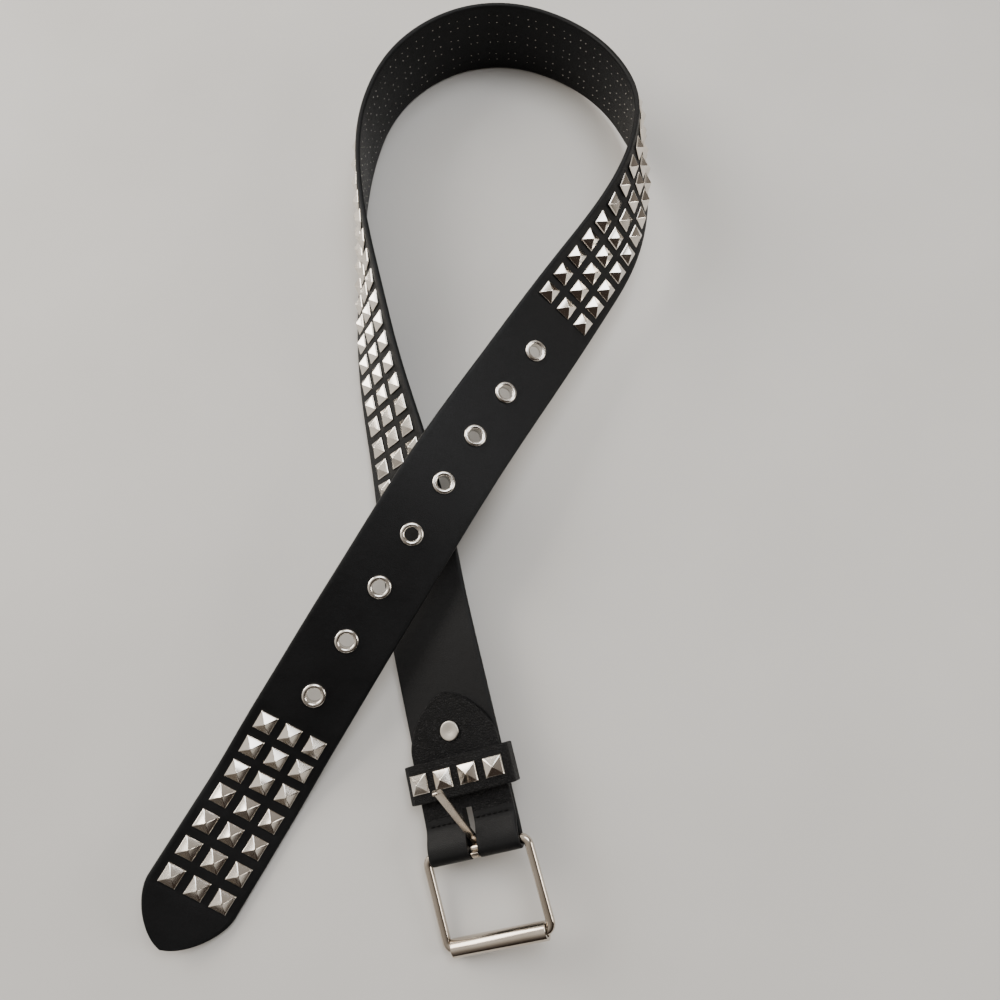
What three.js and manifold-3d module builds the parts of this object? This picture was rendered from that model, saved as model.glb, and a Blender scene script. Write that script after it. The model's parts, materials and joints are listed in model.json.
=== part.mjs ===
// A studded leather belt laid in an open loop: buckle end at the front, tongue crossing over it.
// Millimetres, +Z up, the table is the plane z = 0.
import * as THREE from 'three';
import { mergeVertices } from 'three/addons/utils/BufferGeometryUtils.js';
import Module from 'manifold-3d';

const wasm = await Module();
wasm.setup();

// Driving dimensions: the strap
const STRAP_WIDTH = 38;
const STRAP_THICKNESS = 2.4;
const TIP_LENGTH = 20;
const TIP_SHOULDER = 4;
const SEAT_GAP = 0.3;
const END_LEAN = 18;
const CROSSING_LEAN = 35;

// The pyramid studs
const STUD_PITCH = 11;
const STUD_SIDE = 7.6;
const STUD_SKIRT = 0.5;
const STUD_HEIGHT = 2.9;
const STUD_SINK = 0.6;
const FIELD_START = 142.7;
const FIELD_ROWS = 50;
const TIP_ROWS = 7;
const STUD_COLUMNS = [-1, 0, 1];

// The eyelets
const EYELET_COUNT = 8;
const EYELET_PITCH = 25.4;
const EYELET_FROM_FIELD = 26.5;
const TIP_FIELD_FROM_EYELET = 18.3;
const EYELET_BORE = 5.8;
const EYELET_WALL = 0.5;
const EYELET_FLANGE = 10;
const EYELET_BACK_FLANGE = 9;
const EYELET_CROWN = 0.9;

// The buckle, its roller and its prong
const HEEL_BAR = 3.2;
const BAR_CLEARANCE = 0.35;
const FRAME_SIDE_CLEARANCE = 0.6;
const FRAME_INSIDE = STRAP_WIDTH + 2 * FRAME_SIDE_CLEARANCE;
const FRAME_WIRE = 3.4;
const FRAME_DEPTH = 33.5;
const FRAME_CORNER = 4.5;
const FRAME_BEVEL = 0.6;
const FRONT_BAR = 3;
const ROLLER_DIAMETER = 6.8;
const ROLLER_WALL = 1.2;
const PRONG_LENGTH = 36.5;
const PRONG_WIDTH = 3.2;
const PRONG_THICKNESS = 1.6;
const PRONG_HOOK = 2.4;
const PRONG_RAISED = 50;
const TABLE_GAP = 0.15;

// The fold with its flap, slot and rivet, and the keeper loop
const SLOT_WIDTH = 4.2;
const SLOT_LENGTH = 15;
const FOLD_END = 13;
const FLAP_LENGTH = 60;
const FLAP_NOSE = 21;
const FLAP_SINK = 0.2;
const RIVET_PLACE = 44.5;
const RIVET_HEAD = 8;
const RIVET_SHANK = 3;
const RIVET_HEAD_HEIGHT = 0.9;
const KEEPER_PLACE = 27.5;
const KEEPER_WIDTH = 15;
const KEEPER_THICKNESS = 1.9;
const KEEPER_CLEARANCE = 0.5;
const KEEPER_SIDE = 1.7;
const KEEPER_CROWN = 2.2;
const KEEPER_STUD_PITCH = 10.6;
const KEEPER_STUD_COLUMNS = [-1.5, -0.5, 0.5, 1.5];

// Resolution of the faceted surfaces
const STATION_STEP = STUD_PITCH / 2;
const TIP_STATIONS = 8;
const ROUND_SIDES = 16;
const ARC_PIECES = 8;
const CORNER_PIECES = 5;
const NOSE_PIECES = 12;
const KEEPER_PIECES = 10;

// Lengths along the strap, from the heel bar to the tip
const FIELD_END = FIELD_START + (FIELD_ROWS - 1) * STUD_PITCH;
const EYELET_START = FIELD_END + EYELET_FROM_FIELD;
const EYELET_END = EYELET_START + (EYELET_COUNT - 1) * EYELET_PITCH;
const TIP_FIELD_START = EYELET_END + TIP_FIELD_FROM_EYELET;
const SHOULDER = TIP_FIELD_START + (TIP_ROWS - 1) * STUD_PITCH + TIP_SHOULDER;
const STRAP_LENGTH = SHOULDER + TIP_LENGTH;

const radians = THREE.MathUtils.degToRad;
const HALF = STRAP_WIDTH / 2;
const BACK = -STRAP_THICKNESS / 2;
const FRONT = STRAP_THICKNESS / 2;
const FLAP_FRONT = FRONT + STRAP_THICKNESS;

// Heights of the lower edge over the table where something lies beneath it
const KEEPER_DEPTH = KEEPER_CLEARANCE + KEEPER_THICKNESS;
const KEEPER_REACH = KEEPER_SIDE + KEEPER_THICKNESS - KEEPER_DEPTH / 2;
const KEEPER_RISE = KEEPER_REACH * Math.sin(radians(END_LEAN)) + KEEPER_DEPTH * Math.cos(radians(END_LEAN));
const CROSSING_RISE = STRAP_WIDTH * Math.sin(radians(CROSSING_LEAN)) + STUD_HEIGHT;

// The strap's route over the table: along as a share of its length, heading in degrees from +X,
// lean in degrees (the inner edge raised), rise in millimetres of the lower edge over the table.
const ROUTE = [
  { along: 0.0, heading: 103, lean: END_LEAN, rise: KEEPER_RISE },
  { along: 0.0754, heading: 103, lean: END_LEAN, rise: KEEPER_RISE },
  { along: 0.1111, heading: 99, lean: 24, rise: 0.01 * STRAP_WIDTH },
  { along: 0.1473, heading: 102.2, lean: 37, rise: 0.1 * STRAP_WIDTH },
  { along: 0.1835, heading: 104, lean: 47.5, rise: 0.03 * STRAP_WIDTH },
  { along: 0.2348, heading: 98.5, lean: 61, rise: 0 },
  { along: 0.2961, heading: 94.5, lean: 81, rise: 0 },
  { along: 0.3575, heading: 76.5, lean: 90, rise: 0 },
  { along: 0.4188, heading: 33.5, lean: 90, rise: 0 },
  { along: 0.4801, heading: -24, lean: 90, rise: 0 },
  { along: 0.5425, heading: -69, lean: 87.5, rise: 0.15 * CROSSING_RISE },
  { along: 0.6038, heading: -103.5, lean: 67, rise: 0.57 * CROSSING_RISE },
  { along: 0.6652, heading: -125, lean: 37, rise: 0.66 * CROSSING_RISE },
  { along: 0.7265, heading: -123.5, lean: 21, rise: 0.8 * CROSSING_RISE },
  { along: 0.7878, heading: -121.5, lean: 17, rise: CROSSING_RISE },
  { along: 0.8502, heading: -122.5, lean: 18, rise: 0.68 * CROSSING_RISE },
  { along: 0.9014, heading: -122.5, lean: 18, rise: 0.28 * CROSSING_RISE },
  { along: 0.9417, heading: -120.5, lean: 18, rise: 0 },
  { along: 1.0, heading: -120.5, lean: 18, rise: 0 },
];

// A monotone cubic through one column of the route, so level stretches stay level
function columnCurve(column) {
  const x = ROUTE.map((row) => row.along * STRAP_LENGTH);
  const y = ROUTE.map((row) => row[column]);
  const last = x.length - 1;
  const width = x.slice(1).map((value, i) => value - x[i]);
  const secant = width.map((w, i) => (y[i + 1] - y[i]) / w);
  const slope = x.map((_, i) => {
    if (i === 0) return secant[0];
    if (i === last) return secant[last - 1];
    const before = secant[i - 1];
    const after = secant[i];
    if (before * after <= 0) return 0;
    const a = 2 * width[i] + width[i - 1];
    const b = width[i] + 2 * width[i - 1];
    return (a + b) / (a / before + b / after);
  });
  return (s) => {
    let i = 0;
    while (i < last - 1 && s > x[i + 1]) i += 1;
    const u = (s - x[i]) / width[i];
    const v = 1 - u;
    return (1 + 2 * u) * v * v * y[i] + u * v * v * width[i] * slope[i]
      + u * u * (3 - 2 * u) * y[i + 1] - u * u * v * width[i] * slope[i + 1];
  };
}

const headingAt = columnCurve('heading');
const leanAt = columnCurve('lean');
const riseAt = columnCurve('rise');

function middleHeight(s) {
  const lean = radians(leanAt(s));
  return riseAt(s) + HALF * Math.sin(lean) + FRONT * Math.cos(lean);
}

// The middle line of the strap in plan, summed in short steps
const WALK = 1;
const walk = [new THREE.Vector2(0, 0)];
for (let s = 0; s < STRAP_LENGTH; s += WALK) {
  const climb = middleHeight(s + WALK) - middleHeight(s);
  const level = Math.sqrt(WALK * WALK - climb * climb);
  const heading = radians(headingAt(s + WALK / 2));
  const step = new THREE.Vector2(Math.cos(heading), Math.sin(heading)).multiplyScalar(level);
  walk.push(walk[walk.length - 1].clone().add(step));
}

function middle(s) {
  const i = Math.min(Math.max(Math.floor(s / WALK), 0), walk.length - 2);
  const plan = walk[i].clone().lerp(walk[i + 1], s / WALK - i);
  return new THREE.Vector3(plan.x, plan.y, middleHeight(s));
}

// The strap's own axes at a station: across to the right of travel, along it, out of its front
function strapMatrix(s) {
  const heading = radians(headingAt(s));
  const lean = radians(leanAt(s));
  const right = new THREE.Vector3(Math.sin(heading), -Math.cos(heading), 0);
  const up = new THREE.Vector3(0, 0, 1);
  const across = right.clone().multiplyScalar(Math.cos(lean)).addScaledVector(up, Math.sin(lean));
  const reach = Math.min(WALK, STRAP_LENGTH - s, s);
  const forward = reach > 0
    ? middle(s + reach).sub(middle(s - reach)).normalize()
    : new THREE.Vector3(Math.cos(heading), Math.sin(heading), 0);
  const out = new THREE.Vector3().crossVectors(across, forward).normalize();
  const side = new THREE.Vector3().crossVectors(forward, out);
  return new THREE.Matrix4().makeBasis(side, forward, out).setPosition(middle(s));
}

// Closed meshes in and out of the solid library
function solid(geometry) {
  const bare = geometry.clone();
  bare.deleteAttribute('normal');
  bare.deleteAttribute('uv');
  const merged = mergeVertices(bare, 1e-4);
  const corners = merged.index.array;
  const faces = [];
  for (let i = 0; i < corners.length; i += 3) {
    const [a, b, c] = [corners[i], corners[i + 1], corners[i + 2]];
    if (a !== b && b !== c && c !== a) faces.push(a, b, c);
  }
  return new wasm.Manifold(new wasm.Mesh({
    numProp: 3,
    vertProperties: Float32Array.from(merged.attributes.position.array),
    triVerts: Uint32Array.from(faces),
  }));
}

function geometryOf(body) {
  const mesh = body.getMesh();
  const geometry = new THREE.BufferGeometry();
  geometry.setAttribute('position', new THREE.BufferAttribute(Float32Array.from(mesh.vertProperties), 3));
  geometry.setIndex(new THREE.BufferAttribute(Uint32Array.from(mesh.triVerts), 1));
  geometry.computeVertexNormals();
  return geometry;
}

// A round pointed end: half the width at a share of the nose's length, which ends a little blunt
const NOSE_FULLNESS = 1.6;
const NOSE_ROUNDNESS = 0.64;
const NOSE_BLUNT = 0.04;

function noseWidth(share) {
  return HALF * (1 - share ** NOSE_FULLNESS) ** NOSE_ROUNDNESS;
}

// The strap from the heel bar to its tip, four corners at each station
function ribbonGeometry() {
  const stations = [{ s: 0, half: HALF }];
  const lastShare = 1 - NOSE_BLUNT / TIP_LENGTH;
  for (let s = FIELD_START % STATION_STEP; s < SHOULDER - 1; s += STATION_STEP) stations.push({ s, half: HALF });
  for (let i = 0; i <= TIP_STATIONS; i += 1) {
    const share = lastShare * Math.sin((Math.PI / 2) * i / TIP_STATIONS);
    stations.push({ s: SHOULDER + TIP_LENGTH * share, half: noseWidth(share) });
  }
  const points = [];
  for (const { s, half } of stations) {
    const matrix = strapMatrix(s);
    for (const [u, n] of [[-half, BACK], [half, BACK], [half, FRONT], [-half, FRONT]]) {
      points.push(...new THREE.Vector3(u, 0, n).applyMatrix4(matrix).toArray());
    }
  }
  const faces = [];
  const quad = (a, b, c, d) => faces.push(a, b, c, a, c, d);
  for (let i = 0; i + 1 < stations.length; i += 1) {
    for (let k = 0; k < 4; k += 1) {
      const next = (k + 1) % 4;
      quad(4 * i + k, 4 * i + 4 + k, 4 * i + 4 + next, 4 * i + next);
    }
  }
  const end = 4 * (stations.length - 1);
  quad(0, 1, 2, 3);
  quad(end + 3, end + 2, end + 1, end);
  const geometry = new THREE.BufferGeometry();
  geometry.setAttribute('position', new THREE.Float32BufferAttribute(points, 3));
  geometry.setIndex(faces);
  return geometry;
}

// A four-sided pyramid on a short skirt, its base at z = base
function studGeometry(base) {
  const half = STUD_SIDE / 2;
  const ring = (z) => [[-half, -half, z], [half, -half, z], [half, half, z], [-half, half, z]].flat();
  const points = [...ring(base), ...ring(STUD_SKIRT), 0, 0, STUD_HEIGHT];
  const faces = [0, 2, 1, 0, 3, 2];
  for (let k = 0; k < 4; k += 1) {
    const next = (k + 1) % 4;
    faces.push(k, next, 4 + next, k, 4 + next, 4 + k, 4 + k, 4 + next, 8);
  }
  const geometry = new THREE.BufferGeometry();
  geometry.setAttribute('position', new THREE.Float32BufferAttribute(points, 3));
  geometry.setIndex(faces);
  return geometry;
}

// A bar along x, centred at y and z
function barGeometry(radius, length, y = 0, z = 0) {
  return new THREE.CylinderGeometry(radius, radius, length, ROUND_SIDES)
    .rotateZ(Math.PI / 2).translate(0, y, z);
}

// A ring turned about x from an outer and an inner radius
function ringGeometry(outer, inner, length) {
  const profile = [[inner, -length / 2], [outer, -length / 2], [outer, length / 2], [inner, length / 2]];
  profile.push(profile[0]);
  return new THREE.LatheGeometry(profile.map(([r, h]) => new THREE.Vector2(r, h)), ROUND_SIDES)
    .rotateZ(-Math.PI / 2);
}

function box(x, y, z) {
  const size = [x, y, z].map(([low, high]) => high - low);
  const centre = [x, y, z].map(([low, high]) => (low + high) / 2);
  return new THREE.BoxGeometry(...size).translate(...centre);
}

// The fold close round the heel bar, in the buckle end's own frame; the prong's loop stands in its slot
const FOLD_INSIDE = HEEL_BAR / 2 + BAR_CLEARANCE;
const BAR_HEIGHT = FRONT + FOLD_INSIDE;

// A profile drawn in (y, z) and swept across x, centred
function acrossSolid(profile, width) {
  const swept = new THREE.ExtrudeGeometry(profile, { depth: width, bevelEnabled: false, curveSegments: ARC_PIECES });
  swept.translate(0, 0, -width / 2);
  const [x, y, z] = [new THREE.Vector3(1, 0, 0), new THREE.Vector3(0, 1, 0), new THREE.Vector3(0, 0, 1)];
  return solid(swept.applyMatrix4(new THREE.Matrix4().makeBasis(y, z, x)));
}

function foldSolid() {
  const outside = FOLD_INSIDE + STRAP_THICKNESS;
  const outer = new THREE.Shape();
  outer.absarc(0, BAR_HEIGHT, outside, -Math.PI / 2, -Math.PI * 1.5, true);
  outer.bezierCurveTo(FOLD_END / 2, BAR_HEIGHT + outside, FOLD_END / 2, FLAP_FRONT, FOLD_END, FLAP_FRONT);
  outer.lineTo(FOLD_END, BACK);
  const inner = new THREE.Shape();
  inner.absarc(0, BAR_HEIGHT, FOLD_INSIDE, -Math.PI / 2, -Math.PI * 1.5, true);
  inner.lineTo(0.7 * FOLD_END, FRONT + SEAT_GAP);
  return acrossSolid(outer, STRAP_WIDTH).subtract(acrossSolid(inner, 2 * STRAP_WIDTH));
}

function flapSolid() {
  const outline = new THREE.Shape();
  const start = FLAP_LENGTH - FLAP_NOSE;
  outline.moveTo(-HALF, FOLD_END - 1);
  outline.lineTo(HALF, FOLD_END - 1);
  for (let i = 0; i < NOSE_PIECES; i += 1) {
    const share = Math.sin((Math.PI / 2) * i / NOSE_PIECES);
    outline.lineTo(noseWidth(share), start + FLAP_NOSE * share);
  }
  outline.lineTo(0, FLAP_LENGTH);
  for (let i = NOSE_PIECES - 1; i >= 0; i -= 1) {
    const share = Math.sin((Math.PI / 2) * i / NOSE_PIECES);
    outline.lineTo(-noseWidth(share), start + FLAP_NOSE * share);
  }
  outline.closePath();
  const flap = new THREE.ExtrudeGeometry(outline, { depth: STRAP_THICKNESS + FLAP_SINK, bevelEnabled: false });
  return solid(flap.translate(0, 0, FRONT - FLAP_SINK));
}

// The whole strap with its fold, flap, holes and long field of studs
function strapSolid(buckleEnd) {
  let strap = solid(ribbonGeometry());
  const local = [foldSolid(), flapSolid()].map((part) => solid(geometryOf(part).applyMatrix4(buckleEnd)));
  for (const part of local) strap = strap.add(part);
  const through = [-HALF, HALF];
  const slot = box([-SLOT_WIDTH / 2, SLOT_WIDTH / 2], [-FOLD_END, SLOT_LENGTH], through);
  const rivetHole = new THREE.CylinderGeometry(
    RIVET_SHANK / 2 + SEAT_GAP, RIVET_SHANK / 2 + SEAT_GAP, STRAP_WIDTH, ROUND_SIDES)
    .rotateX(Math.PI / 2).translate(0, RIVET_PLACE, 0);
  for (const cut of [slot, rivetHole]) strap = strap.subtract(solid(cut.applyMatrix4(buckleEnd)));
  const hole = EYELET_BORE / 2 + EYELET_WALL + SEAT_GAP;
  for (let i = 0; i < EYELET_COUNT; i += 1) {
    const cut = new THREE.CylinderGeometry(hole, hole, 4 * STRAP_THICKNESS, ROUND_SIDES).rotateX(Math.PI / 2);
    strap = strap.subtract(solid(cut.applyMatrix4(strapMatrix(EYELET_START + i * EYELET_PITCH))));
  }
  for (let row = 0; row < FIELD_ROWS; row += 1) {
    const matrix = strapMatrix(FIELD_START + row * STUD_PITCH);
    for (const column of STUD_COLUMNS) {
      const stud = studGeometry(-STUD_SINK).translate(column * STUD_PITCH, 0, FRONT).applyMatrix4(matrix);
      strap = strap.add(solid(stud));
    }
  }
  return strap;
}

// An eyelet: rolled flange on the front, barrel through the leather, turned-over rim at the back
function eyeletGeometry() {
  const bore = EYELET_BORE / 2;
  const barrel = bore + EYELET_WALL;
  const flange = EYELET_FLANGE / 2;
  const rim = EYELET_BACK_FLANGE / 2;
  const front = FRONT + SEAT_GAP;
  const back = BACK - SEAT_GAP;
  const profile = [
    [bore, back - EYELET_WALL], [rim, back - EYELET_WALL], [rim, back], [barrel, back], [barrel, front],
    [flange, front], [flange - EYELET_CROWN / 2, front + 0.8 * EYELET_CROWN],
    [(flange + bore) / 2, front + EYELET_CROWN], [bore, front + EYELET_CROWN / 2],
    [bore, back - EYELET_WALL],
  ];
  return new THREE.LatheGeometry(profile.map(([r, h]) => new THREE.Vector2(r, h)), ROUND_SIDES)
    .rotateX(Math.PI / 2);
}

// The rivet: a flat head on the flap, its shank and a small cap behind
function rivetGeometry() {
  const head = RIVET_HEAD / 2;
  const shank = RIVET_SHANK / 2;
  const front = FLAP_FRONT + SEAT_GAP;
  const back = BACK - SEAT_GAP;
  const profile = [
    [0, back - EYELET_WALL], [0.8 * head, back - EYELET_WALL], [0.8 * head, back], [shank, back],
    [shank, front], [head, front], [head, front + 0.6 * RIVET_HEAD_HEIGHT],
    [0.85 * head, front + RIVET_HEAD_HEIGHT], [0, front + RIVET_HEAD_HEIGHT],
  ];
  return new THREE.LatheGeometry(profile.map(([r, h]) => new THREE.Vector2(r, h)), ROUND_SIDES)
    .rotateX(Math.PI / 2).translate(0, RIVET_PLACE, 0);
}

// The keeper: a leather loop round both layers, its front arched
const KEEPER_HALF = HALF + KEEPER_SIDE + KEEPER_THICKNESS;
const KEEPER_BACK = BACK - KEEPER_CLEARANCE - KEEPER_THICKNESS;
const KEEPER_SHOULDER = FLAP_FRONT + KEEPER_CLEARANCE + KEEPER_THICKNESS;
const KEEPER_RADIUS = (KEEPER_HALF ** 2 + KEEPER_CROWN ** 2) / (2 * KEEPER_CROWN);

function keeperOutline(inset) {
  const half = KEEPER_HALF - inset;
  const back = KEEPER_BACK + inset;
  const shoulder = KEEPER_SHOULDER - inset;
  const corner = KEEPER_THICKNESS + KEEPER_CLEARANCE - inset;
  const radius = KEEPER_RADIUS - inset;
  const centre = KEEPER_SHOULDER + KEEPER_CROWN - KEEPER_RADIUS;
  const reach = half - 0.4 * corner;
  const bend = Math.asin(reach / radius);
  const path = [new THREE.Vector2(-half + corner / 2, back), new THREE.Vector2(half - corner / 2, back)];
  path.push(new THREE.Vector2(half, back + corner / 2), new THREE.Vector2(half, shoulder - 0.6 * corner));
  for (let i = 0; i <= KEEPER_PIECES; i += 1) {
    const angle = bend * (1 - 2 * i / KEEPER_PIECES);
    path.push(new THREE.Vector2(radius * Math.sin(angle), centre + radius * Math.cos(angle)));
  }
  path.push(new THREE.Vector2(-half, shoulder - 0.6 * corner), new THREE.Vector2(-half, back + corner / 2));
  return path;
}

function keeperGeometry() {
  const section = new THREE.Shape(keeperOutline(0));
  section.holes.push(new THREE.Path(keeperOutline(KEEPER_THICKNESS).reverse()));
  return new THREE.ExtrudeGeometry(section, { depth: KEEPER_WIDTH, bevelEnabled: false })
    .rotateX(Math.PI / 2).translate(0, KEEPER_PLACE + KEEPER_WIDTH / 2, 0);
}

// The buckle frame, drawn flat: arms and corners from a rounded ring, round heel and front bars
const FRAME_HALF = FRAME_INSIDE / 2 + FRAME_WIRE;
const ARM_THICKNESS = HEEL_BAR;

function roundedRectangle(Kind, halfWidth, low, high, radius) {
  const shape = new Kind();
  shape.absarc(halfWidth - radius, high - radius, radius, 0, Math.PI / 2, false);
  shape.absarc(-halfWidth + radius, high - radius, radius, Math.PI / 2, Math.PI, false);
  shape.absarc(-halfWidth + radius, low + radius, radius, Math.PI, 1.5 * Math.PI, false);
  shape.absarc(halfWidth - radius, low + radius, radius, 1.5 * Math.PI, 2 * Math.PI, false);
  shape.closePath();
  return shape;
}

function frameSolid() {
  const wire = FRAME_WIRE / 2;
  const low = -FRAME_DEPTH - wire;
  const outline = roundedRectangle(THREE.Shape, FRAME_HALF, low, wire, FRAME_CORNER);
  outline.holes.push(roundedRectangle(
    THREE.Path, FRAME_INSIDE / 2, low + FRAME_WIRE, wire - FRAME_WIRE, FRAME_CORNER - FRAME_WIRE));
  const ring = new THREE.ExtrudeGeometry(outline, {
    depth: ARM_THICKNESS - 2 * FRAME_BEVEL, bevelThickness: FRAME_BEVEL, bevelSize: FRAME_BEVEL,
    bevelOffset: -FRAME_BEVEL, bevelSegments: 1, curveSegments: CORNER_PIECES,
  }).translate(0, 0, FRAME_BEVEL - ARM_THICKNESS / 2);
  const inside = [-FRAME_INSIDE / 2, FRAME_INSIDE / 2];
  const deep = [-FRAME_WIRE, FRAME_WIRE];
  let frame = solid(ring);
  frame = frame.subtract(solid(box(inside, [-2 * wire, 2 * wire], deep)));
  frame = frame.subtract(solid(box(inside, [low - wire, low + 3 * wire], deep)));
  frame = frame.add(solid(barGeometry(HEEL_BAR / 2, FRAME_INSIDE + FRAME_WIRE)));
  return frame.add(solid(barGeometry(FRONT_BAR / 2, FRAME_INSIDE + FRAME_WIRE, -FRAME_DEPTH)));
}

const ROLLER_LENGTH = FRAME_INSIDE - 2 * BAR_CLEARANCE;

// The prong, open along +y: a loop round the bar, a flat shank and a tip bent to reach over the roller
function prongSolid() {
  const inner = HEEL_BAR / 2 + BAR_CLEARANCE;
  const outer = inner + PRONG_THICKNESS;
  const shank = PRONG_LENGTH - PRONG_HOOK;
  const profile = new THREE.Shape();
  profile.moveTo(0, -inner);
  profile.lineTo(shank, -inner);
  profile.quadraticCurveTo(PRONG_LENGTH - 0.15 * PRONG_HOOK, -inner, PRONG_LENGTH, PRONG_HOOK - inner);
  profile.quadraticCurveTo(PRONG_LENGTH + 0.4 * PRONG_HOOK, -outer, shank, -outer);
  profile.lineTo(0, -outer);
  profile.closePath();
  const blank = acrossSolid(profile, PRONG_WIDTH).add(solid(barGeometry(outer, PRONG_WIDTH)));
  return blank.subtract(solid(barGeometry(inner, 2 * PRONG_WIDTH)));
}

// Materials
const metal = (name, color, roughness) => new THREE.MeshStandardMaterial({ name, color, roughness, metalness: 1 });
const leather = (name, color, roughness) => new THREE.MeshStandardMaterial({ name, color, roughness });
const STRAP_LEATHER = leather('strap_leather', 0x1b1b1d, 0.5);
const KEEPER_LEATHER = leather('keeper_leather', 0x202022, 0.6);
const STUD_METAL = metal('stud_metal', 0xb9b4ac, 0.22);
const EYELET_METAL = metal('eyelet_metal', 0xc4c0b8, 0.25);
const BUCKLE_METAL = metal('buckle_metal', 0xa79d92, 0.28);

function piece(name, geometry, material, matrix) {
  const mesh = new THREE.Mesh(geometry, material);
  mesh.name = name;
  if (matrix) mesh.applyMatrix4(matrix);
  return mesh;
}

// The loop is set down with its middle over the origin
const group = new THREE.Group();
const laid = new THREE.Group();
group.add(laid);

const buckleEnd = strapMatrix(FOLD_END);
buckleEnd.setPosition(middle(0));
laid.add(piece('studded_strap', geometryOf(strapSolid(buckleEnd)), STRAP_LEATHER));

for (let i = 0; i < EYELET_COUNT; i += 1) {
  const matrix = strapMatrix(EYELET_START + i * EYELET_PITCH);
  laid.add(piece(`eyelet_${i + 1}`, eyeletGeometry(), EYELET_METAL, matrix));
}

for (let row = 0; row < TIP_ROWS; row += 1) {
  for (const [index, column] of STUD_COLUMNS.entries()) {
    const stud = studGeometry(0).translate(column * STUD_PITCH, 0, FRONT + SEAT_GAP);
    const matrix = strapMatrix(TIP_FIELD_START + row * STUD_PITCH);
    laid.add(piece(`tip_stud_${row + 1}_${index + 1}`, stud, STUD_METAL, matrix));
  }
}

laid.add(piece('rivet', rivetGeometry(), EYELET_METAL, buckleEnd));
laid.add(piece('keeper_loop', keeperGeometry(), KEEPER_LEATHER, buckleEnd));
KEEPER_STUD_COLUMNS.forEach((column, index) => {
  const angle = Math.asin(column * KEEPER_STUD_PITCH / KEEPER_RADIUS);
  const stud = studGeometry(0).translate(0, 0, KEEPER_RADIUS + SEAT_GAP).rotateY(angle);
  stud.translate(0, KEEPER_PLACE, KEEPER_SHOULDER + KEEPER_CROWN - KEEPER_RADIUS);
  laid.add(piece(`keeper_stud_${index + 1}`, stud, STUD_METAL, buckleEnd));
});

// The frame turns down about the heel bar until the roller's lower end meets the table
const barCentre = new THREE.Vector3(0, 0, BAR_HEIGHT).applyMatrix4(buckleEnd);
const endLean = radians(leanAt(0));
const rollerLow = barCentre.z - ROLLER_LENGTH / 2 * Math.sin(endLean) - ROLLER_DIAMETER / 2 * Math.cos(endLean);
const FRAME_DROP = Math.asin((rollerLow - TABLE_GAP) / (FRAME_DEPTH * Math.cos(endLean)));
const atBar = new THREE.Matrix4().makeTranslation(0, 0, BAR_HEIGHT).premultiply(buckleEnd);
const frameMatrix = atBar.clone().multiply(new THREE.Matrix4().makeRotationX(FRAME_DROP));
const prongMatrix = atBar.clone().multiply(new THREE.Matrix4().makeRotationX(radians(PRONG_RAISED)));
const roller = ringGeometry(ROLLER_DIAMETER / 2, ROLLER_DIAMETER / 2 - ROLLER_WALL, ROLLER_LENGTH);
laid.add(piece('buckle_frame', geometryOf(frameSolid()), BUCKLE_METAL, frameMatrix));
laid.add(piece('roller', roller.translate(0, -FRAME_DEPTH, 0), BUCKLE_METAL, frameMatrix));
laid.add(piece('prong', geometryOf(prongSolid()), BUCKLE_METAL, prongMatrix));

const extent = new THREE.Box3().setFromObject(laid, true);
const centre = extent.getCenter(new THREE.Vector3());
laid.position.set(-centre.x, -centre.y, -extent.min.z);

export default group;
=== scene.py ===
# %% [markdown]
# A studded leather belt, laid on a table in an open loop with its tongue crossed over.
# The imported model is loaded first. It holds every piece at its real place, so each Blender piece
# made below takes its place from the same named sizes and needs no fitting by eye.

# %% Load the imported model
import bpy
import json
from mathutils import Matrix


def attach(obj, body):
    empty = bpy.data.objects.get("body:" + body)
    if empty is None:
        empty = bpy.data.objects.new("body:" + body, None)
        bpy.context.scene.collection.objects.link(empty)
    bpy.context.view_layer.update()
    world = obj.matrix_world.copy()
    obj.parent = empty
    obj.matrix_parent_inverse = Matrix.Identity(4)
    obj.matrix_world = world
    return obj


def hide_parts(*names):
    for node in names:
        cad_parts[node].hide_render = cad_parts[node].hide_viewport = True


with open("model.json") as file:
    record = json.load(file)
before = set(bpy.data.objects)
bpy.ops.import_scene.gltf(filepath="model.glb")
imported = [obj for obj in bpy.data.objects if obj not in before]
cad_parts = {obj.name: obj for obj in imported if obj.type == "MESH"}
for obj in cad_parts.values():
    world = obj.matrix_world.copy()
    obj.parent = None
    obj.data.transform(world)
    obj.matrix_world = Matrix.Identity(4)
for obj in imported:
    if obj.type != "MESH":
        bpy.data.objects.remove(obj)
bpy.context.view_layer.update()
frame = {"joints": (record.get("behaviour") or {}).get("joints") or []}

import json
import math

import bmesh
import bpy
import numpy as np
from mathutils import Matrix, Vector

# %% [markdown]
# The belt's sizes are those of the solids, in millimetres. Real belts of this kind are cut to a
# standard strap width, and the studs, eyelets and buckle are stock parts made for that width, so
# everything follows from a few numbers.

# %% Sizes in millimetres
MM = 0.001
STRAP_WIDTH, STRAP_THICKNESS = 38.0, 2.4
HALF, FRONT, BACK = STRAP_WIDTH / 2, STRAP_THICKNESS / 2, -STRAP_THICKNESS / 2
TIP_LENGTH, TIP_SHOULDER = 20.0, 4.0
SEAT_GAP = 0.3
END_LEAN, CROSSING_LEAN = 18.0, 35.0

STUD_PITCH, STUD_SIDE, STUD_SKIRT, STUD_HEIGHT = 11.0, 7.6, 0.5, 2.9
FIELD_START, FIELD_ROWS, TIP_ROWS = 142.7, 50, 7
STUD_COLUMNS = (-1, 0, 1)

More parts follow.
